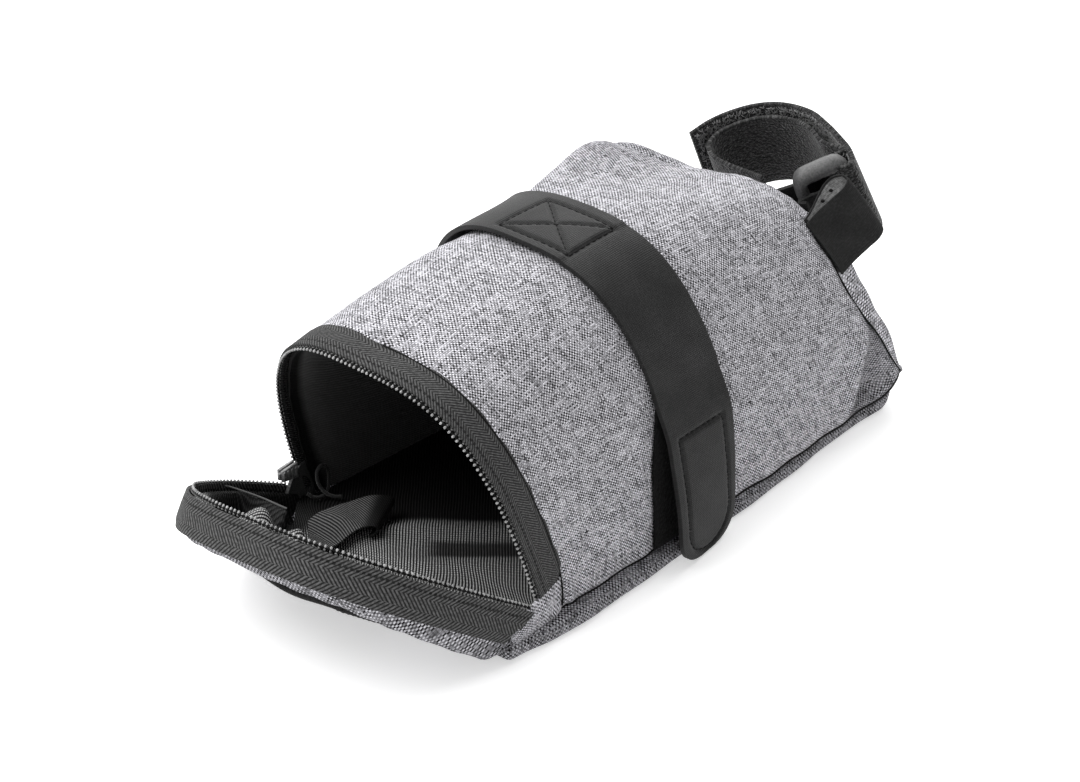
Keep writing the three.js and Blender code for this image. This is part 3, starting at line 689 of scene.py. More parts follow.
def tube(name, points, radius, material, replaced=(), sides=8):
    """A round bead along points, made as a curve and turned into a mesh."""
    curve = bpy.data.curves.new(name, "CURVE")
    curve.dimensions = "3D"
    curve.bevel_depth = radius * MM
    curve.bevel_resolution = sides // 4
    curve.use_fill_caps = True
    spline = curve.splines.new("POLY")
    spline.points.add(len(points) - 1)
    for point, place in zip(spline.points, points):
        point.co = (*(place * MM), 1)
    piece = bpy.data.objects.new(name, curve)
    bpy.context.collection.objects.link(piece)
    alone(piece)
    bpy.ops.object.convert(target="MESH")
    bpy.ops.object.shade_smooth()
    return settle(bpy.context.object, material, replaced)


# Cloth body and its linings

def rolled(angle):
    """1 low on the body's sides, where the end pad's edge rolls back over it, and 0 over the top."""
    return smooth((1.15 - np.minimum(angle, math.pi - angle)) / 0.6)


def body_end(angle):
    """Where along the body its seam with the end pad lies."""
    rise = arch_point(1.0, angle)[..., 2] - SEAM_Z
    return mix(1.0, 0.979, rolled(angle) * smooth((rise - 20) / 25))


def past_crease(point, at, angle):
    """Distances from the front seam, and how far past the crease of the tucked corner a place lies:
    0 on the crease and 1 in the corner itself."""
    from_front = np.maximum((body_end(angle) - at) * BODY_LENGTH, 0)
    return from_front, 1 - from_front / CORNER["long"] - (point[..., 2] - SEAM_Z) / CORNER["tall"]


def tipped(point, rise, ahead, up):
    """Draws the low front end forward, and its two corners up, by two shares."""
    moved = point.copy()
    corner = smooth((np.abs(point[..., 0]) - CORNER["inner_x"]) / CORNER["width"])
    moved[..., 1] += CORNER["ahead"] * ahead * np.clip(1 - rise / CORNER["ahead_rise"], 0, 1)
    moved[..., 2] += CORNER["up"] * up * corner * np.exp(-rise / CORNER["up_rise"])
    return moved


def tucked(point, at, angle):
    """Draws the body in at the near and far bottom corners of its front end, and lifts the seam there."""
    rise = point[..., 2] - SEAM_Z
    from_front, from_crease = past_crease(point, at, angle)
    inside = (1 - np.exp(-from_front / 6)) * smooth((rise + 1) / 8)
    hollow = CORNER["hollow"] * smooth(from_crease / 0.45)
    inner_slope = np.clip(1 - from_crease / 0.25, 0, 1)
    ridge = CORNER["ridge"] * np.where(from_crease < 0, np.exp(from_crease / 0.3), inner_slope)
    moved = point.copy()
    moved[..., 0] -= np.sign(point[..., 0]) * (hollow - ridge) * inside
    moved[..., 2] -= 0.9 * np.exp(-rise / 8)
    return tipped(moved, rise, smooth((at - 0.93) / 0.06), np.clip((at - 0.945) / 0.055, 0, 1) ** 2.2)


def cloth_relief(at, angle, arc):
    """Soft unevenness of the body's cloth: slow waves, puckers at the seams and a dent under the strap."""
    along = at * BODY_LENGTH
    point = arch_point(at, angle)
    across = strap_across(point)
    under = smooth((across + 7) / 7) * smooth((STRAP_WIDTH + 7 - across) / 7)
    waves = np.sin(along / 15 + 1.4 * np.sin(arc / 37)) * np.sin(arc / 21 + 0.6 + along / 60)
    waves = 0.42 * waves + 0.2 * np.sin(along / 6.5 + arc / 19) * np.sin(arc / 9.0 - along / 31)
    from_zip = np.maximum(along - ZIP["tape"], 0)
    from_front = body_end(angle) * BODY_LENGTH - along
    rise = point[..., 2] - SEAM_Z
    pucker = 0.3 * np.sin(arc / 2.6) * np.exp(-from_zip / 5)
    pucker = pucker + 0.3 * np.sin(arc / 3.1) * np.exp(-from_front / 6)
    pucker = pucker + 0.3 * np.sin(along / 3.3) * np.exp(-rise / 5)
    hem = 0.45 * bell((from_zip - 1.8) / 1.3) - 0.7 * np.exp(-from_zip / 0.7)
    tuck = -0.9 * np.exp(-from_front / 0.9) - 0.9 * np.exp(-rise / 1.2)
    tuck = tuck - 1.7 * np.exp(-from_front / 6) * (1 - rolled(angle))
    return (waves + pucker) * (1 - under) - 0.45 * under + hem + tuck


def flared(angle):
    """Share of the flare at the foot of the body's rear edge: 1 at the seam with the base."""
    return np.exp(-np.sin(angle) / 0.05)


def body_grid(name, rows, cols, start, end, low_rise, offset, edge_painted_shade=0.0, flare=0.0):
    low = angle_at_rise(0.5, low_rise)
    angles, arc = even(lambda a: arch_point(0.5, a), math.pi - low, low, cols * 4)

    def spot(s, t):
        angle = np.interp(t, np.linspace(0, 1, cols * 4), angles)
        begin = start - flare * flared(angle)
        return mix(begin, end * body_end(angle), s), angle

    def place(s, t):
        at, angle = spot(s, t)
        ragged = 0.35 * np.sin(t * 83) * np.sin(t * 31 + 1) * (1 - s) ** 30
        at = at + ragged / BODY_LENGTH
        return tucked(body_point(at, angle, offset(at, angle, t * arc)), at, angle)

    def flat(s, t):
        return mix(start, end, s) * BODY_LENGTH, t * arc

    # Painted shade: the fold attribute darkens the tucked front corner's facet, and with edge_painted_shade
    # the edge of the piece by the mouth
    def fold(s, t):
        at, angle = spot(s, t)
        _, from_crease = past_crease(arch_point(at, angle), at, angle)
        tuck = 0.5 * smooth(from_crease / 0.12) * (1 - 0.4 * smooth((from_crease - 0.35) / 0.4))
        return np.maximum(tuck, edge_painted_shade * smooth((0.03 - s) / 0.015))

    piece = laid_grid(name, rows, cols, place, flat, fold)
    across, along = CUT_ALLOWANCE["across"], CUT_ALLOWANCE["along"]
    return piece, (arc * across * MM, (end - start) * BODY_LENGTH * along * MM)


def build_body():
    cloth, cut = body_grid("body_cloth", 150, 190, TAPE_SHARE, 1, 0, cloth_relief, flare=FOOT_FLARE)
    sheet(cloth, CLOTH, MELANGE, "body_panel")


def build_body_lining():
    def sag(at, _, run):
        loose = CLOTH + 2 * CLEAR + 0.6 - 0.5 * np.sin(at * 31 + run / 17) * np.sin(run / 29)
        return -mix(1.7, loose, smooth((at - 0.03) / 0.05))

    # the last 1.0 paints shade along the lining's edge at the mouth
    lining, cut = body_grid("body_lining_cloth", 60, 90, 0.02, 0.98, 1.6, sag, 1.0)
    sheet(lining, LINING, DEEP_LINING_FINISH, "body_lining")


def build_body_seams():
    """Dark seam lines along the two feet of the body and round its front end."""
    _, arc = even(lambda a: arch_point(0.5, a), math.pi, 0, 10)
    for side, angle, run in (("near", 0.0, arc), ("far", math.pi, 0.0)):
        at = np.linspace(TAPE_SHARE - 0.018, body_end(0.0), 160)
        lift = cloth_relief(at, np.full(160, angle), run) + 0.2
        foot = tucked(body_point(at, np.full(160, angle), lift), at, angle)
        foot[:, 2] -= 0.2
        tube(f"base_seam_{side}", foot, 0.32, THREAD_FINISH)
    angles = np.linspace(0.002, math.pi - 0.002, 260)
    at = body_end(angles)
    rise = arch_point(at, angles)[:, 2] - SEAM_Z
    sunk = 0.75 + 0.9 * np.exp(-rise / 1.2) + 2.2 * (1 - rolled(angles))
    edge = tucked(body_point(at, angles, -sunk), at, angles)
    tube("front_seam", edge, 0.32, THREAD_FINISH)


def base_block():
    """A tapered block with rounded edges and an even mesh."""
    bpy.ops.object.select_all(action="DESELECT")
    bpy.ops.mesh.primitive_cube_add(size=1)
    pad = bpy.context.object
    pad.name = "base_pad"
    rear, front = BASE_PAD["rear"], BASE_PAD["front"]
    pad.scale = [edge * MM for edge in (2 * BASE["rear_half"], front - rear, BASE["thick"])]
    pad.location = (0, (front + rear) / 2 * MM, BASE["thick"] / 2 * MM)
    bpy.ops.object.transform_apply(location=True, scale=True)
    for vertex in pad.data.vertices:
        if vertex.co.y > 0:
            vertex.co.x *= BASE["front_half"] / BASE["rear_half"]
    in_edit_mode(bpy.ops.mesh.bevel, offset=BASE_PAD["bevel"] * MM, segments=5)
    remesh = pad.modifiers.new("even", "REMESH")
    remesh.mode = "VOXEL"
    remesh.voxel_size = BASE_PAD["voxel"] * MM
    ease = pad.modifiers.new("ease", "SMOOTH")
    ease.factor = 0.5
    ease.iterations = 3
    apply_modifiers(pad)
    return pad


def base_form(points):
    """Gives the block its waist, full sides, round and lifted front corners, and a thin rear edge
    under the flap."""
    x, y, z = points.T
    corner = BASE["corner"]
    level = np.clip(z / BASE["thick"], 0, 1)
    waist = 1 - 0.03 * smooth((-70 - y) / 30) + 0.012 * np.sin(math.pi * np.clip((y + 97) / 110, 0, 1))
    swell = 0.3 * np.sin(y / 4.3) * np.sin(math.pi * level) * smooth((np.abs(x) - 35) / 8)
    past = np.clip(y - BASE_PAD["front"] + corner, 0, corner)
    rounding = corner - np.sqrt(corner ** 2 - 0.98 * past ** 2)
    x = x * (waist - rounding / BASE["front_half"]) + np.sign(x) * swell
    side = np.clip(x / 38, -1, 1)
    x = x + side * mix(2.5, 1.5, level) * smooth((y + 103) / 16) * smooth((72 - y) / 62)
    x = x + side * (smooth((y - 62) / 24) - 1.2 * smooth((y - 83) / 10))
    toe = np.clip((y - BASE_PAD["toe_from"]) / BASE_PAD["toe_run"], 0, 1) ** 2.2
    lift = mix(BASE_PAD["toe_low"], BASE_PAD["toe_high"], level)
    z = np.maximum(z, 0) + toe * smooth((np.abs(x) - 34) / 9) * lift
    y = y - 0.8 * smooth((np.abs(x) - 36) / 6) * smooth((-97 - y) / 6)
    top_edge = (np.abs(x) > 40) & (level > 0.7)
    z = np.where(top_edge, z - 0.8 * smooth((np.abs(x) - 40) / 6) * smooth((91 - y) / 6), z)
    z = z * (1 - BASE_PAD["thinned"] * smooth((-95 - y) / 6) * smooth((48 - np.abs(x)) / 3))
    return np.stack([x, y, z], -1)


def build_base():
    """The padded base, which the bag rests on."""
    pad = base_block()
    points = np.array([vertex.co for vertex in pad.data.vertices]) / MM
    pad.data.vertices.foreach_set("co", (base_form(points) * MM).ravel())
    pad.data.update()
    boxed_uv(pad)
    bpy.ops.object.shade_smooth()
    # painted shade: the base takes the darker copy of the melange cloth
    settle(pad, SHADED_MELANGE, ["base_panel"])


def forward():
    return unit(np.array([0, 1, section(1.0)["lean"]]))


def build_front():
    """The end pad: a dome in the middle whose full edge rolls back to the seam with the body."""
    roll_from = FRONT["roll_from"]

    def lifted(point):
        return tipped(point, point[..., 2] - SEAM_Z, 1.0, 1.0)

    def place(s, t):
        share, angle = arch_grid(mix(1, -1, t), s)
        inner = share / roll_from
        slack = 0.5 * np.sin(angle * 5 + share * 9) * inner * np.maximum(1 - inner, 0)
        full = smooth(np.sin(angle) * share / FRONT["fades_below"])
        dome = FRONT["dome"] * (1 - np.minimum(inner, 1) ** 4)
        dome = full * (CLEAR + CLOTH + FRONT["rim"] + dome + slack)
        reach = mix(0.9, 0.93, rolled(angle))
        face = lifted(arch_point(1.0, angle, np.minimum(inner, 1) * reach)) + forward() * dome[:, None]
        rim = lifted(arch_point(1.0, angle, reach)) + forward() * dome[:, None]
        turned = rolled(angle)
        corner = lifted(arch_point(1.0, angle, mix(0.955, 1.012, turned)))
        corner = corner + forward() * (full * (CLEAR + CLOTH + mix(1.3, 2.8, turned)))[:, None]
        pucker = 0.25 * np.sin(angle * 34)
        at = body_end(angle)
        seam = tucked(body_point(at, angle, mix(-3.2, -0.55, turned)), at, angle)
        k = np.clip((share - roll_from) / (1 - roll_from), 0, 1)[:, None]
        roll = rim * (1 - k) ** 2 + corner * 2 * k * (1 - k) + seam * k ** 2
        roll = roll + forward() * (pucker * np.sin(math.pi * k[:, 0]))[:, None]
        return np.where((share > roll_from)[:, None], roll, face)

    def flat(s, t):
        share, angle = arch_grid(mix(1, -1, t), s)
        point = arch_point(1.0, angle, share * 1.06)
        return point[:, 0], (point[:, 2] - SEAM_Z) * 1.11

    pad = laid_grid("front_pad", 90, 160, place, flat)
    thicken(pad, CLOTH * 0.8)
    settle(pad, MELANGE, ["front_panel"])


def build_front_lining():
    def place(s, t):
        share, angle = arch_grid(mix(-1, 1, t), s)
        slack = CLEAR + LINING + 0.4 * np.sin(angle * 4 + share * 7) * share
        point = arch_point(0.96, angle, share * 0.78) - forward() * slack[:, None]
        point[:, 2] += 2.0
        return point

    def flat(s, t):
        return mix(-42, 42, t), mix(0, 84, s)

    backing = laid_grid("front_lining_cloth", 36, 60, place, flat)
    sheet(backing, LINING, DEEP_LINING_FINISH, "front_lining")


def floor_drape(y):
    """How far the floor's lining hangs down behind the base's rear edge."""
    return 4.6 * smooth((-97.4 - y) / 6.5)


def build_floor_lining():
    """The floor's lining, which runs out over the base's rear edge and down to the flap."""
    inset = CLOTH + LINING + 1.2
    rear, front = -104.0, MOUTH_Y + 0.96 * BODY_LENGTH
    turn = math.radians(42.2)

    def spot(s, t):
        y = mix(rear, front, s)
        at = np.clip((y - MOUTH_Y) / BODY_LENGTH, 0, 1)
        out = smooth((-92 - y) / 12)
        half = section(at)["half"] - inset + 2.6 * smooth((-84 - y) / 8) - 7 * out
        x = mix(-half, half, t)
        return x, y, y * math.cos(turn) - x * math.sin(turn), x * math.cos(turn) + y * math.sin(turn)

    def place(s, t):
        x, y, deep, _ = spot(s, t)
        slack = 0.4 * (1 - np.cos(2 * math.pi * 3.4 * s)) + 0.5 * np.sin(y / 9 + t * 5) * np.sin(t * 9)
        ridge = 2.2 * bell((deep + 56) / 4.5) + 1.6 * bell((deep + 75) / 4)
        rise = (np.maximum(slack, 0) + ridge) * np.sin(math.pi * t) ** 0.7 * smooth((y + 102) / 8)
        return np.stack([x, y, SEAM_Z + LINING + rise - floor_drape(y)], -1)

    def flat(s, t):
        return mix(-50, 50, t), mix(rear, front, s)

    # Painted shade: the floor lining goes near black past the ridge deep inside, and in a band along the
    # trough before it
    def fold(s, t):
        _, _, deep, side = spot(s, t)
        behind = smooth((deep + 52) / 4)
        trough = 0.85 * smooth((deep + 72) / 2.5) * smooth((-61 - deep) / 2.5) * smooth((side + 61) / 8)
        return np.maximum(behind, trough)

    lining = laid_grid("floor_lining_cloth", 130, 70, place, flat, fold)
    sheet(lining, LINING * 0.8, LINING_FINISH, "floor_lining")


# The flap

def flap_grid(name, rows, cols, inset, depth, fold=None):
    def spot(s, t):
        share, angle = arch_grid(mix(-1, 1, t), s)
        x, w = flap_outline(angle, inset)
        return share, angle, x * share, w * share

    def place(s, t):
        share, angle, x, w = spot(s, t)
        return flap_point(x, w, depth(share, angle, x, w))

    def flat(s, t):
        _, _, x, w = spot(s, t)
        return x, w

    def painted_shade_at(s, t):
        _, _, x, w = spot(s, t)
        return fold(x, w)

    return laid_grid(name, rows, cols, place, flat, painted_shade_at if fold else None)


FLAP_HUMPS = (
    {"x": -31.5, "w": 32.5, "high": 10.5, "wide": 8, "long": 6.0},
    {"x": -37, "w": 54, "high": 11.0, "wide": 8, "long": 9},
    {"x": -22.5, "w": 23.5, "high": 8.5, "wide": 6, "long": 3.6},
    {"x": -18, "w": 38, "high": 3.0, "wide": 12, "long": 8},
    {"x": 14, "w": 30, "high": 1.8, "wide": 14, "long": 8},
)
FLAP_BINDING = {"high": 12.0, "wide": 2.6, "radius": 0.3}
BINDING_LINE = catmull([(-49.6, 35), (-47.6, 27.5), (-42.6, 22), (-34.5, 19.4)], 60)
LIGHT_LOOP = {"half": 22.0, "low": 24.0, "high": 44.0, "stand": 1.8}


def flap_hump(x, w, row):
    return np.exp(-(((x - row["x"]) / row["wide"]) ** 2) - (((w - row["w"]) / row["long"]) ** 2))


def flap_lining_depth(x, w):
    """Depth of the loose lining: the flap's floor, less its humps and the raised, bound fold."""
    raised = sum(row["high"] * flap_hump(x, w, row) for row in FLAP_HUMPS)
    off_line = np.hypot(x[:, None] - BINDING_LINE[:, 0], w[:, None] - BINDING_LINE[:, 1]).min(1)
    raised = np.maximum(raised, FLAP_BINDING["high"] * bell(off_line / FLAP_BINDING["wide"]))
    creases = 0.5 * np.sin(x / 5 + w / 8) * np.sin(w / 6.5)
    return np.maximum(flap_floor(w) - 3 * CLEAR - raised - np.abs(creases), 1.2)


def build_flap():
    """The flap's cloth: a dish whose rim turns up to the zip tape."""
    def shell(share, angle, x, w):
        slack = 0.35 * np.sin(x / 11 + 0.5) * np.sin(w / 9) + 0.15 * np.sin(x / 4.1) * np.sin(w / 5)
        pucker = 0.15 * np.sin(angle * 30) * smooth((share - 0.75) / 0.15)
        pucker = pucker * (1 - smooth((share - 0.96) / 0.04))
        outer = flap_floor(w) + CLOTH + slack * (1 - flap_turn(share)) + pucker
        return mix(outer, FLAP["rim"], flap_turn(share))

    cloth = flap_grid("flap_cloth", 80, 150, -0.5, shell)
    thicken(cloth, CLOTH * 0.8)
    # painted shade: the flap's cloth takes the darker copy of the melange cloth
    settle(cloth, SHADED_MELANGE, ["flap_panel"])


def build_flap_lining():
    def loose(share, _, x, w):
        return mix(flap_lining_depth(x, w), 3.0, flap_turn(share))

    # Painted shade over the far side of the flap lining, left off on the first three humps
    def shaded(x, w):
        lit = np.clip(sum(flap_hump(x, w, row) * 1.7 for row in FLAP_HUMPS[:3]), 0, 1)
        return smooth((-11 - x) / 8) * (1 - smooth(lit))

    lining = flap_grid("flap_lining_cloth", 70, 130, TAPE + 2 * CLEAR, loose, shaded)
    lining.data.flip_normals()
    sheet(lining, LINING, LINING_FINISH, "flap_lining")
    x, w = BINDING_LINE.T
    radius = FLAP_BINDING["radius"]
    line = flap_point(x, w, flap_lining_depth(x, w) - radius)
    tube("flap_binding", line, radius, BINDING_FINISH)


def build_light_loop():
    """Webbing across the outside of the flap, sewn down at both ends."""
    strip = LIGHT_LOOP

    def place(s, t):
        x = mix(-strip["half"], strip["half"], s)
        w = mix(strip["low"], strip["high"], t)
        stand = strip["stand"] * np.sin(math.pi * s) ** 2
        return flap_point(x, w, flap_floor(w) + CLOTH + CLEAR + stand)

    def flat(s, t):
        return mix(-strip["half"], strip["half"], s), mix(0, strip["high"] - strip["low"], t)

    band = laid_grid("light_loop_band", 60, 20, place, flat)
    band.data.flip_normals()
    thicken(band, WEBBING, outward=True, edge=0.4)
    settle(band, STRAP_FINISH, ["light_loop"])
    rows = []
    for x in (-19.5, -17.5, 17.5, 19.5):
        w = np.linspace(strip["low"] + 2, strip["high"] - 2, 30)
        stand = strip["stand"] * math.sin(math.pi * (x / strip["half"] + 1) / 2) ** 2
        line = flap_point(np.full(30, x), w, flap_floor(w) + CLOTH + CLEAR + stand + WEBBING + 0.1)
        down = np.array([0, -math.sin(FLAP["open"]), -math.cos(FLAP["open"])])
        rows.append((line, np.tile(down, (30, 1))))
    stitches("light_loop_stitches", rows, 1.6, 0.5, 0.55)


# The zip

def tape_wave(along):
    return 0.18 * np.sin(along / 7.0) + 0.12 * np.sin(along / 2.9 + 1)


def build_body_tape():
    low = angle_at_rise(0.5, 1.2)
    inner = (ZIP["coil"] / 2 + CLEAR - 0.9) / BODY_LENGTH
    outer = TAPE_SHARE + 1.2 / BODY_LENGTH

    def offset(at, arc):
        width = (at - inner) / (outer - inner)
        return -ZIP["sunk"] - 0.35 * smooth((width - 0.75) / 0.2) + tape_wave(arc) * np.sin(math.pi * width)

    angles, arc = even(lambda a: arch_point(0.5, a), low, math.pi - low, 800)

    def place(s, t):
        at = mix(inner, outer, t)
        trimmed = np.clip(s, 0.068 * t, 1 - 0.032 * t)
        angle = np.interp(trimmed, np.linspace(0, 1, 800), angles)
        return body_point(at, angle, offset(at, trimmed * arc))

    def flat(s, t):
        return s * arc, mix(0, ZIP["tape"], t)

    tape = laid_grid("body_tape", 260, 12, place, flat)
    tape.data.flip_normals()
    thicken(tape, TAPE * 0.8, finishes=3)
    finishes = [FINE_TAPE_FINISH, SMOOTH_WEBBING_FINISH, SMOOTH_WEBBING_FINISH]
    settle(tape, finishes, ["body_zip_tape"])
    # A dark cord along the cloth's edge at the tape on the near side: painted shadow where the cloth meets
    # the tape and the hinge corner
    near = angles[:400]
    at = TAPE_SHARE + 0.001 - FOOT_FLARE * flared(near)
    line = body_point(at, near, np.zeros(400))
    tube("mouth_shadow_line", line, 0.3, THREAD_FINISH)


def build_flap_tape():
    angles, arc = even(lambda a: flap_rim(a, 0.0), 0.012, math.pi - 0.012, 800)

    def place(s, t):
        angle = np.interp(np.maximum(s, 0.036 * t), np.linspace(0, 1, 800), angles)
        depth = mix(ZIP["coil"] / 2 - 0.6, FLAP["rim"] + 0.6, t)
        inset = 0.5 * smooth((t - 0.8) / 0.2) - tape_wave(s * arc) * np.sin(math.pi * t)
        return flap_rim(angle, depth, inset)

    def flat(s, t):
        return s * arc, mix(0, ZIP["tape"], t)

    tape = laid_grid("flap_tape", 260, 12, place, flat)
    thicken(tape, TAPE * 0.8, finishes=3)
    settle(tape, [TAPE_FINISH, SMOOTH_WEBBING_FINISH, SMOOTH_WEBBING_FINISH], ["flap_zip_tape"])


def tooth_form():
    """One turn of the coil as it shows: a short rod across the tape with a wider head."""
    bpy.ops.mesh.primitive_cylinder_add(vertices=8, radius=0.4, depth=1.7, rotation=(math.pi / 2, 0, 0))
    bpy.ops.object.transform_apply(rotation=True)
    in_edit_mode(bpy.ops.mesh.bevel, offset=0.18, segments=1)
    tooth = bpy.context.object
    for vertex in tooth.data.vertices:
        vertex.co.z *= 1.05
        if vertex.co.y < -0.5:
            vertex.co.x *= 1.1


def coil(name, path, across, node):
    """Teeth at an even pitch along a path. across points from the tape out to the teeth's heads."""
    frames = along_frames(path, np.cross(unit(np.gradient(path, axis=0)), -across))
    form = unit_mesh(tooth_form)
    teeth = scattered(f"{name}_teeth", form, path, frames)
    # the teeth take the pale grey finish with painted glints
    settle(teeth, COIL_GLINT_FINISH, [node])
    tube(f"{name}_core", path - across * 0.1, 0.42, THREAD_FINISH)


def pitched(curve, low, high):
    """Parameters one tooth's pitch apart along a curve."""
    _, length = even(curve, low, high, 10)
    return even(curve, low, high, int(length / ZIP["pitch"]))[0]


def build_coils():
    near = angle_at_rise(0.0, ZIP["hinge_z"] - SEAM_Z)
    far = math.pi - angle_at_rise(0.0, ZIP["hinge_z"] - SEAM_Z + 10)
    depth = -ZIP["sunk"] - 0.25
    angles = pitched(lambda a: arch_point(0.0, a), near, far)
    count = len(angles)
    path = body_point(np.full(count, 0.001), angles, np.full(count, depth))
    inward = body_point(np.full(count, 0.02), angles, np.full(count, depth))
    coil("body_coil", path, unit(path - inward), "body_zip_coil")

    angles = pitched(lambda a: flap_rim(a, 0.0, TAPE / 2), 0.02, math.pi - 0.03)
    behind = smooth((angles - 2.2) / 0.3)
    inset = TAPE / 2 - 1.3 * behind
    path = flap_rim(angles, 0.9 * behind, inset)
    outward = flap_rim(angles, -4.0, inset)
    coil("flap_coil", path, unit(outward - path), "flap_zip_coil")


def block(size, place, bevel):
    """A box of this size and place, with its edges rounded."""
    bpy.ops.object.select_all(action="DESELECT")
    bpy.ops.mesh.primitive_cube_add(size=1)
    box = bpy.context.object
    box.scale = [edge * MM for edge in size]
    box.location = [k * MM for k in place]
    bpy.ops.object.transform_apply(location=True, scale=True)
    in_edit_mode(bpy.ops.mesh.bevel, offset=bevel * MM, segments=2)
    return box


def build_slider():
    low, high = (np.array(corner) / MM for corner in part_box("zip_slider"))
    middle = (low + high) / 2 + np.array([-2.8, -1.4, 3.2])
    size = (high - low) * 0.72
    plates = []
    for side in (-1, 1):
        place = middle + np.array([side * (size[0] / 2 - 0.6), 0, 0])
        plate = block((1.2, size[1], size[2]), place, 0.4)
        for vertex in plate.data.vertices:
            from_middle = vertex.co.y / MM - middle[1]
            narrow = 0.72 + 0.28 * smooth((from_middle + size[1] / 2) / (size[1] * 0.6))
            vertex.co.z = (middle[2] + (vertex.co.z / MM - middle[2]) * narrow) * MM
        plates.append(plate)
    plates.append(block((size[0] - 1.6, 3.0, size[2] * 0.42), middle + np.array([0, -2.4, 0]), 0.3))
    for k in range(4):
        place = middle + np.array([size[0] / 2 + 0.1, -2.7 + 1.6 * k, 0])
        plates.append(block((0.7, 0.8, size[2] * 0.62), place, 0.25))
    bpy.ops.object.select_all(action="DESELECT")
    for plate in plates:
        plate.select_set(True)
    bpy.context.view_layer.objects.active = plates[0]
    bpy.ops.object.join()
    slider = bpy.context.object
    slider.name = "slider_body"
    bpy.ops.object.shade_smooth_by_angle(angle=math.radians(35))
    settle(slider, METAL_FINISH, ["zip_slider"])


PULLER_DIAMETER = 1.15
PULLER_ROUTE = (
    (-45.2, -93.6, 12.0), (-43.8, -92.4, 10.8), (-43.0, -90.6, 10.2), (-42.8, -88.4, 10.4),
    (-43.4, -86.4, 11.6), (-44.4, -85.0, 13.8), (-45.0, -84.6, 16.4), (-45.2, -85.6, 18.6),
    (-45.2, -87.6, 19.4), (-45.0, -89.2, 18.0), (-44.4, -89.8, 15.6), (-43.2, -89.6, 13.2),
    (-41.6, -88.8, 11.4), (-39.8, -87.4, 10.4), (-38.2, -85.6, 10.2),
)


def build_puller():
    path = catmull(PULLER_ROUTE, 90)
    cord = tube("puller_loop", path, PULLER_DIAMETER / 2, CORD_FINISH, ["zip_puller"])


# Saddle strap

X_BOX = {"low": 105.5, "high": 133.5, "rear": 3.6, "front": 25.0}
PATCH = {"top": 38.0, "rear": 4.4, "front": 3.4, "tip": 1.6}


def patch_line(side):
    """The stitch line of a strap end: down the rear edge, round the tip, up the front and across the top."""
    low, high = PATCH["rear"], STRAP_WIDTH - PATCH["front"]
    tip = -SADDLE["drop"] + PATCH["tip"]
    turn = np.linspace(0, math.pi, 40)
    middle, half = (high + low) / 2, (high - low) / 2
    radius = SADDLE["round"] - 1
    runs = np.concatenate([
        np.linspace(PATCH["top"], tip + radius, 30), tip + radius - radius * np.sin(turn) ** 0.8,
        np.linspace(tip + radius, PATCH["top"], 30), np.full(24, PATCH["top"]),
    ])
    across = np.concatenate([
        np.full(30, low), middle - half * np.cos(turn), np.linspace(high, high - 1.4, 30),
        np.linspace(high - 1.4, low, 24),
    ])
    return (runs if side == "near" else BAND_LENGTH - runs), across


def strap_lines():
    """Every stitch line on the saddle strap, as runs and places across."""
    box = X_BOX
    corners = (
        ((box["high"], box["rear"]), (box["high"], box["front"])),
        ((box["low"], box["rear"]), (box["low"], box["front"])),
        ((box["low"], box["rear"]), (box["high"], box["rear"])),
        ((box["low"], box["front"]), (box["high"], box["front"])),
        ((box["low"], box["rear"]), (box["high"], box["front"])),
        ((box["low"], box["front"]), (box["high"], box["rear"])),
    )
    lines = [(np.linspace(a[0], b[0], 40), np.linspace(a[1], b[1], 40)) for a, b in corners]
    return lines + [patch_line("near"), patch_line("far")]


def pressed(run, across):
    """How deep the stitching draws the strap in at a place on it."""
    depth = np.zeros_like(run)
    for runs, places in strap_lines():
        apart = np.hypot(run[:, None] - runs[None], across[:, None] - places[None]).min(1)
        depth = np.maximum(depth, bell(apart / 0.75))
    return 0.8 * depth


def strap_surface(run, across, rise):
    """Height of the strap's outer face off the body, before the stitching."""
    wave = 0.22 * np.sin(run / 11) * np.sin(across / 9) + 0.25 * np.sin(run / 23 + 1)
    doubled = 0.5 * smooth((run - X_BOX["low"] + 1) / 2)
    settled = np.where(run > BAND_LENGTH / 2, rise + 16, rise)
    return strap_lift(settled, across) + np.maximum(wave, -0.1) + WEBBING - 0.3 + doubled


def strap_place(s, t):
    drop, power = SADDLE["drop"], SADDLE["round_power"]
    run = mix(-drop + 0.15, BAND_LENGTH + drop - 0.15, s)
    share = np.clip((np.minimum(run, BAND_LENGTH - run) + drop) / SADDLE["round"], 0, 1)
    narrow = (1 - (1 - share) ** power) ** (1 / power)
    return run, STRAP_WIDTH * (0.5 + (t - 0.5) * narrow)


def build_saddle_strap():
    def place(s, t):
        run, across = strap_place(s, t)
        press = pressed(run, across)
        return band_point(run, across, lambda rise: strap_surface(run, across, rise) - press)

    strap = laid_grid("saddle_band", 440, 48, place, strap_place)
    thicken(strap, WEBBING * 0.8, edge=0.4)
    settle(strap, STRAP_FINISH, ["saddle_strap"])

    rows = []
    for run, across in strap_lines():
        points, outer = (
            band_point(run, across, lambda rise: strap_surface(run, across, rise) + k) for k in (-0.6, 0.6))
        rows.append((points, unit(outer - points)))
    stitches("saddle_stitches", rows, 2.3, 0.35, 0.42)


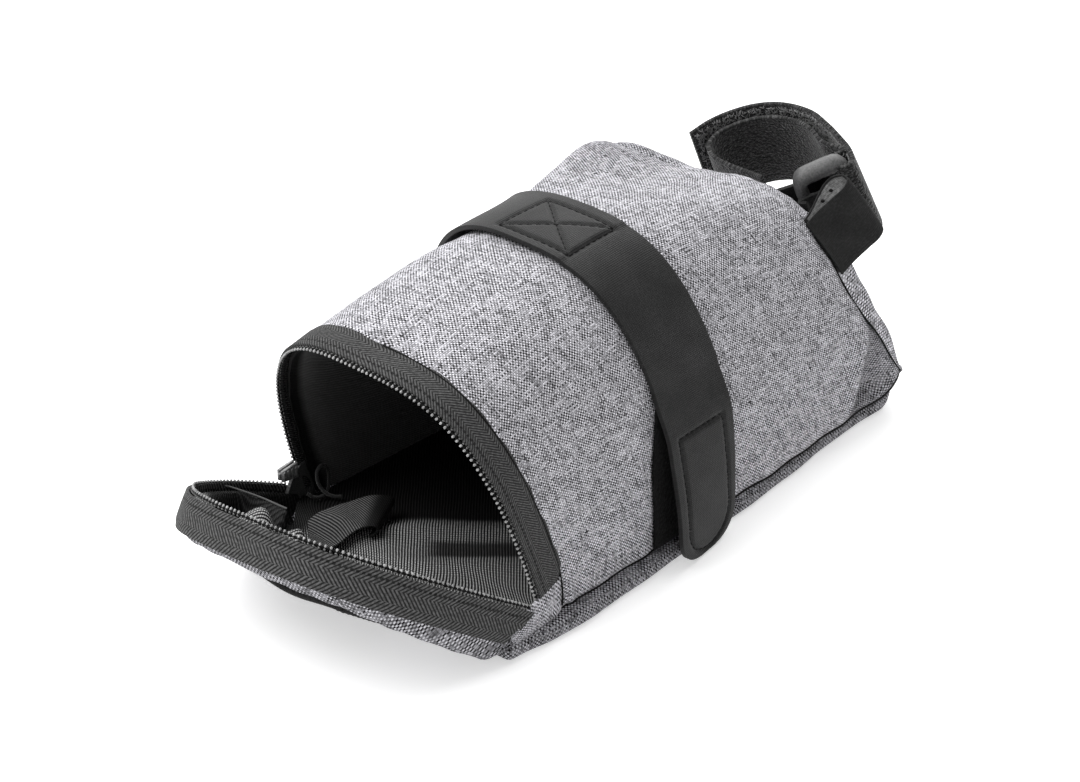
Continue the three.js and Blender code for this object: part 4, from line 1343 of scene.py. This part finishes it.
def build_hook_and_loop(side):
    """The loop strip on one side of the body, and the hook patch behind the strap's end, both in near-black
    pile. The loop strip reaches back past the strap's rear edge as painted shadow under the lifted strap end.
    """
    def along(run):
        return run if side == "near" else BAND_LENGTH - run

    # painted shadow: the strip's rear edge runs out past the strap's rear edge, low on the side
    def loops(s, t):
        rear = mix(-4.2, 1.5, smooth((s - 0.45) / 0.55))
        across = mix(rear, STRAP_WIDTH - 3.6, t)
        return band_point(along(mix(0.2, 58, s)), across, lambda rise: np.full(rise.shape, CLEAR + 0.8))

    def hooks(s, t):
        across = mix(1.2, STRAP_WIDTH - 2.4, t)
        run = along(mix(0.5, 36, s))
        return band_point(run, across, lambda rise: strap_surface(run, across, rise) - WEBBING)

    def flat(s, t):
        return mix(0, 36, s), mix(0, STRAP_WIDTH, t)

    for name, place, node in (("loop_pile", loops, "loop_strip"), ("hook_pad", hooks, "hook_patch")):
        strip = laid_grid(f"{name}_{side}", 40, 30, place, flat)
        if side == "far":
            strip.data.flip_normals()
        thicken(strip, 0.9, edge=0.3)
        settle(strip, DARK_PILE_FINISH, [f"{node}_{side}"])


# Seat-post strap, ring and tag

def post_frame(points):
    """From the leaning frame of the seat-post strap to the bag's own."""
    cosine, sine = math.cos(POST["lean"]), math.sin(POST["lean"])
    x, y, z = points[..., 0], points[..., 1], points[..., 2]
    return np.stack([x, POST["y"] + y * cosine - z * sine, POST["z"] + y * sine + z * cosine], -1)


def splay(x, z):
    return -POST["splay"] * (z + POST["width"] / 2) * smooth(x / 12)


RING = {
    "long": 20.4, "tall": 36.0, "bar": 4.4, "end_bar": 2.7, "thick": 3.4, "power": 7.0,
    "x": 22.6, "y": 17.4, "z": -17.0, "turn": math.radians(56),
}
RING_ALONG = np.array([math.cos(RING["turn"]), math.sin(RING["turn"])])
TURN_RADIUS = 3.8


def ring_bar(sign):
    reach = RING["long"] / 2 - RING["bar"] / 2
    return np.array([RING["x"], RING["y"]]) + sign * reach * RING_ALONG


def round_bar(centre, forward, out):
    side = np.array([RING_ALONG[1], -RING_ALONG[0]])
    return centre + TURN_RADIUS * (forward * RING_ALONG + out * side)


def strap_plan():
    front = ring_bar(1)
    turned = [round_bar(front, f, o) for f, o in ((0.5, -1), (-0.6, -0.8), (-1, 0), (-0.6, 0.8), (0.5, 1))]
    return [
        (6, 6.6), (-2, 6.6), (-10, 6.8), (-17.5, 8), (-21.5, 11.5), (-22, 16.5), (-19, 22.5), (-13.5, 28),
        (-6, 31.6), (2, 32.4), (9.5, 31), (16, 28), *turned,
        (29.4, 26.6), (26, 29.2), (20.6, 31.9), (13.4, 35.1), (4.9, 37.6), (-4, 38), (-11.5, 36.4),
        (-18, 32.8), (-23.8, 27.2), (-28.2, 20.5), (-30.8, 13),
    ]


def anchor_plan():
    rear = ring_bar(-1)
    turned = [round_bar(rear, f, o) for f, o in ((0, 1), (1.9, 1), (2.9, 0), (1.9, -1), (0, -1))]
    return [(23, 6.8), (20.4, 6.2), *turned, (9.6, 6.8)]


def ribbon(name, plan, thickness, low, high, cols, shift, edge, finishes=1, rows=14):
    """A band standing on edge along a plan curve, with a soft cut edge above and below. shift moves its
    points along x. With three finishes, its two faces and its edges each take one."""
    path = catmull(plan, cols * 2)
    run = run_along(path)
    along = unit(np.gradient(path, axis=0))
    side = np.stack([-along[:, 1], along[:, 0]], -1)

    def place(s, t):
        at = t * run[-1]
        out = unit(sample(at, run, side))
        z = mix(low, high, s)
        x, y = (sample(at, run, path) + out * thickness / 2).T
        return post_frame(np.stack([x + shift(x, z), y, z], -1))

    def flat(s, t):
        return t * run[-1], mix(0, high - low, s)

    band = laid_grid(name, rows, cols, place, flat)
    band.data.flip_normals()
    thicken(band, thickness, edge=edge, finishes=finishes)
    return band, path, run, side


def loop_form():
    """One curl of pile: a bent strand."""
    bpy.ops.mesh.primitive_cylinder_add(vertices=4, radius=0.09, depth=1.3)
    in_edit_mode(bpy.ops.mesh.bisect, plane_co=(0, 0, 0), plane_no=(0, 0, 1))
    for vertex in bpy.context.object.data.vertices:
        if abs(vertex.co.z) < 0.2:
            vertex.co.x += 0.45


def build_seatpost_strap():
    band, path, run, side = ribbon(
        "seatpost_band", strap_plan(), WEBBING * 0.75, -POST["width"], 0, 260, splay, 0.2, finishes=3)
    settle(band, [PILE_FINISH, SMOOTH_WEBBING_FINISH, CUT_EDGE_FINISH], ["seatpost_strap"])
    build_pile_curls(path, run, side)


def build_pile_curls(path, run, side):
    """Curls of pile over the outer face of the strap's last stretch."""
    rng = np.random.default_rng(7)
    count = 4200
    start = np.searchsorted(run, run[-1] - 100)
    at = rng.uniform(run[start], run[-1] - 1, count)
    z = rng.uniform(-POST["width"] + 1, -0.6, count)
    out = unit(sample(at, run, side))
    centre = sample(at, run, path) + out * (WEBBING / 2 + 0.25)
    local = np.stack([centre[:, 0] + splay(centre[:, 0], z), centre[:, 1], z], -1)
    outer = post_frame(local + np.concatenate([out, np.zeros((count, 1))], 1))
    places = post_frame(local)
    normal = unit(outer - places)
    spin = rng.normal(size=(count, 3))
    first = unit(np.cross(normal, spin))
    frames = np.stack([normal, first, np.cross(normal, first)], -1)
    curls = scattered("pile_curls", unit_mesh(loop_form), places, frames)
    settle(curls, CURL_FINISH)


def build_anchor():
    """Webbing round the ring's rear bar, which holds it to the end pad."""
    anchor, *_ = ribbon(
        "anchor_band", anchor_plan(), WEBBING * 0.8, -POST["width"] + 1, -5.5, 90, splay, 0.2, finishes=3)
    settle(anchor, [STRAP_FINISH, STRAP_FINISH, CUT_EDGE_FINISH], ["buckle_anchor"])


def build_ring():
    """The ring: a torus whose round path is drawn out to a rounded rectangle."""
    bpy.ops.object.select_all(action="DESELECT")
    bpy.ops.mesh.primitive_torus_add(major_radius=10, minor_radius=1, major_segments=96, minor_segments=16)
    ring = bpy.context.object
    ring.name = "ring_moulding"
    half_long = RING["long"] / 2 - RING["bar"] / 2
    half_tall = RING["tall"] / 2 - RING["bar"] / 2 + 0.5
    power = RING["power"]
    for vertex in ring.data.vertices:
        x, y, z = vertex.co
        angle = math.atan2(y, x)
        cosine, sine = math.cos(angle), math.sin(angle)
        radius = 1 / ((abs(cosine) / half_long) ** power + (abs(sine) / half_tall) ** power) ** (1 / power)
        out = math.hypot(x, y) - 10
        long_share = abs(cosine) * radius / half_long
        tall_share = abs(sine) * radius / half_tall
        normal = Vector((long_share ** (power - 1) * math.copysign(1 / half_long, cosine),
                         tall_share ** (power - 1) * math.copysign(1 / half_tall, sine)))
        normal.normalize()
        bar = mix(RING["bar"] / 2, RING["end_bar"], smooth((tall_share - 0.9) / 0.1))
        along = radius * cosine + normal.x * out * bar
        up = radius * sine + normal.y * out * bar
        thick = z * RING["thick"]
        place = np.array([along * RING_ALONG[0] + thick * RING_ALONG[1] + RING["x"],
                          along * RING_ALONG[1] - thick * RING_ALONG[0] + RING["y"], up + RING["z"]])
        place[0] -= POST["splay"] * up
        vertex.co = Vector(post_frame(place) * MM)
    boxed_uv(ring)
    in_edit_mode(bpy.ops.mesh.normals_make_consistent, inside=False)
    bpy.ops.object.shade_smooth()
    settle(ring, PLASTIC_FINISH, ["buckle"])


def seam_x(z):
    rise = np.clip(POST["z"] - SEAM_Z + z * math.cos(POST["lean"]), 1, None)
    row = section(1.0)
    angle = np.arcsin(np.clip(rise / row["height"], 0, 1) ** (row["top"] / 2))
    return arch_point(1.0, angle)[..., 0]


def build_tag():
    """The folded tag: a bare ribbon, with pale cut edges and inner plies that fill its fold."""
    low, high = -19.0, 0.6
    plan = [(2.1, -5.6), (2.4, 1), (3.4, 8), (4.1, 13), (2.9, 16.6), (0.1, 17.6), (-2.7, 15.8), (-3.4, 12),
            (-2.2, 6.5), (-0.6, 0.5), (0.3, -5.6)]

    def follow(_, z):
        return seam_x(z)

    label, *_ = ribbon("side_tag_fold", plan, 0.7, low, high, 90, follow, 0.2, finishes=3, rows=16)
    finishes = [SMOOTH_WEBBING_FINISH, SMOOTH_WEBBING_FINISH, TAG_EDGE_FINISH]
    settle(label, finishes, ["side_tag"])

    near = catmull(plan[:5], 60)
    far = catmull(plan[:4:-1], 60)

    def place(s, t):
        at = mix(0.1, 0.985, s) * 59
        one, two = (sample(at, np.arange(60), line) for line in (near, far))
        x, y = mix(one, two, mix(0.09, 0.91, t)[:, None]).T
        z = np.full_like(s, high - 0.45)
        return post_frame(np.stack([x + seam_x(z), y, z], -1))

    ply = laid_grid("side_tag_ply", 40, 10, place, lambda s, t: (s * 20, t * 4))
    ply.data.flip_normals()
    thicken(ply, 3.0)
    settle(ply, TAG_EDGE_FINISH)
    rows = []
    for along in (0.42, 0.66):
        line = place(np.linspace(along - 0.03, along + 0.03, 5), np.full(5, 0.5))
        rows.append((line, np.tile(post_frame(np.array([0, 0, 1.0])) - post_frame(np.zeros(3)), (5, 1))))
    stitches("side_tag_tacks", rows, 1.5, 0.1, 1.5)


def build_lining_tab():
    """A loose fold of lining that lies on the floor at the hinge and curls over to the right."""
    profile = catmull(
        [(-15, 0.3), (-9, 1.6), (-3, 3.9), (3, 5.4), (8, 5.9), (11, 4.8), (10.6, 2.6), (8, 0.8)], 90)
    turn = math.radians(48)

    def place(s, t):
        run = sample(s, np.linspace(0, 1, 90), profile)
        along = run[:, 0] * mix(0.8, 1, t) - 3.5 * (1 - t)
        depth = mix(-7.5, 6.5, t)
        height = run[:, 1] * mix(0.62, 1.0, t) + 0.25 * np.sin(s * 17 + t * 4)
        x = -22.5 + along * math.cos(turn) - depth * math.sin(turn)
        y = -93.5 + along * math.sin(turn) + depth * math.cos(turn)
        floor = SEAM_Z + 2 * LINING + CLEAR - floor_drape(y)
        return np.stack([x, y, floor + 0.6 + height], -1)

    def flat(s, t):
        return s * 34, t * 14

    # Painted shade on the curl's far side
    def fold(s, _):
        return 0.9 * smooth((s - 0.62) / 0.12)

    leaf = laid_grid("lining_leaf", 70, 36, place, flat, fold)
    sheet(leaf, LINING * 0.7, LEAF_FINISH, "lining_tab", edge=0.15)


HINGE_CORNER = {
    "x": 50.9,
    "upper": ((-80.0, 19.6), (-88.0, 16.8), (-97.0, 13.6), (-104.2, 10.2)),
    "lower": ((-81.4, 6.6), (-88.0, 6.2), (-95.4, 5.6), (-102.6, 5.2)),
}


def build_gussets():
    """Grey cloth corners from the foot of the body's cloth down to the flap's hinge."""
    upper = catmull(HINGE_CORNER["upper"], 60)
    lower = catmull(HINGE_CORNER["lower"], 60)

    def near_place(s, t):
        high, low = (sample(s, np.linspace(0, 1, 60), line) for line in (upper, lower))
        y, z = mix(low, high, t[:, None]).T
        wrinkle = 0.3 * np.sin(s * 17 + t * 3) * np.sin(math.pi * t)
        bulge = 1.0 * smooth(s / 0.15) + 0.5 * np.sin(math.pi * s) * np.sin(math.pi * t)
        return np.stack([HINGE_CORNER["x"] + bulge + wrinkle - 0.2 * t, y, z], -1)

    def far_place(s, t):
        at = mix(TAPE_SHARE + 0.006, -0.052, s)
        rise = (mix(9.6, 1.6, s) + 6.5 * np.sin(math.pi * s)) * t
        angle = math.pi - np.arcsin(np.clip(rise / SECTIONS[0]["height"], 0, 1) ** (SECTIONS[0]["top"] / 2))
        bulge = 0.5 * np.sin(math.pi * s) * np.sin(math.pi * t)
        point = body_point(at, angle, -0.75 - 0.4 * t + bulge)
        point[:, 2] -= 2.6 * smooth((s - 0.5) / 0.5) + 3.4 * (1 - t) ** 2
        return point

    near_finishes = [MELANGE, DEEP_LINING_FINISH, MELANGE]
    far_finishes = [DEEP_LINING_FINISH, MELANGE, MELANGE]
    sides = (("near", near_place, near_finishes), ("far", far_place, far_finishes))
    for side, place, finishes in sides:
        patch = laid_grid(f"hinge_corner_{side}", 34, 16, place, lambda s, t: (s * 29, t * 11))
        thicken(patch, CLOTH * 0.5, finishes=3)
        settle(patch, finishes, [f"hinge_gusset_{side}"])


# Camera, floor and light

CAMERA = {
    "aim": (0, -22.3, 33.6), "azimuth": 42.252, "elevation": 30.003, "distance": 819.5,
    "sensor": 36, "lens": 86.67, "shift": (-0.0261, 0.0063),
}
SKY, FLOOR_GLOW = 0.4, 0.47
LIGHTS = (
    {"name": "key_box", "place": (-0.6, -0.75, 1.25), "aim": (0, 0, 0.03), "size": 1.1, "power": 21},
    {"name": "overhead_box", "place": (-0.6, 0.75, 1.75), "aim": (0, 0, 0), "size": 2.4, "power": 35},
    {"name": "back_box", "place": (-0.87, 0.96, 0.75), "aim": (0, 0, 0.05), "size": 0.9, "power": 7},
)


def look_from(target, azimuth, elevation, distance):
    a, e = math.radians(azimuth), math.radians(elevation)
    back = Vector((math.sin(a) * math.cos(e), -math.cos(a) * math.cos(e), math.sin(e)))
    return target + back * distance, back


def build_camera():
    aim = Vector(CAMERA["aim"]) * MM
    eye, back = look_from(aim, CAMERA["azimuth"], CAMERA["elevation"], CAMERA["distance"] * MM)
    data = bpy.data.cameras.new("photo_camera")
    data.sensor_width = CAMERA["sensor"]
    data.lens = CAMERA["lens"]
    data.shift_x, data.shift_y = CAMERA["shift"]
    camera = bpy.data.objects.new("photo_camera", data)
    bpy.context.collection.objects.link(camera)
    camera.location = eye
    camera.rotation_euler = (-back).to_track_quat("-Z", "Y").to_euler()
    bpy.context.scene.camera = camera


def softbox(name, place, aim, size, power):
    data = bpy.data.lights.new(name, "AREA")
    data.shape = "RECTANGLE"
    data.size = size
    data.size_y = size
    data.energy = power
    lamp = bpy.data.objects.new(name, data)
    bpy.context.collection.objects.link(lamp)
    lamp.location = place
    lamp.rotation_euler = (Vector(aim) - Vector(place)).to_track_quat("-Z", "Y").to_euler()


def build_studio():
    bpy.ops.object.select_all(action="DESELECT")
    bpy.ops.mesh.primitive_plane_add(size=8)
    floor = bpy.context.object
    floor.name = "studio_floor"
    paper = Finish("floor_paper", 0.9)
    paper.shader.inputs["Emission Color"].default_value = (1, 1, 1, 1)
    paper.shader.inputs["Emission Strength"].default_value = FLOOR_GLOW
    paper.color(paper.ramp(paper.noise(paper.place(), 3.0), ((0.0, grey(0.8)), (1.0, grey(0.84)))))
    floor.data.materials.append(paper.material)
    world = bpy.data.worlds.new("studio")
    world.use_nodes = True
    sky = world.node_tree.nodes["Background"]
    sky.inputs["Color"].default_value = (1, 1, 1, 1)
    sky.inputs["Strength"].default_value = SKY
    bpy.context.scene.world = world
    for light in LIGHTS:
        softbox(**light)
    bpy.context.scene.view_settings.view_transform = "Standard"


build_camera()
build_puller()
build_body()
build_body_lining()
build_body_seams()
build_base()
build_front()
build_front_lining()
build_floor_lining()
build_flap()
build_flap_lining()
build_light_loop()
build_body_tape()
build_flap_tape()
build_coils()
build_slider()
build_saddle_strap()
for strap_side in ("near", "far"):
    build_hook_and_loop(strap_side)
build_seatpost_strap()
build_anchor()
build_ring()
build_tag()
build_lining_tab()
build_gussets()
build_studio()
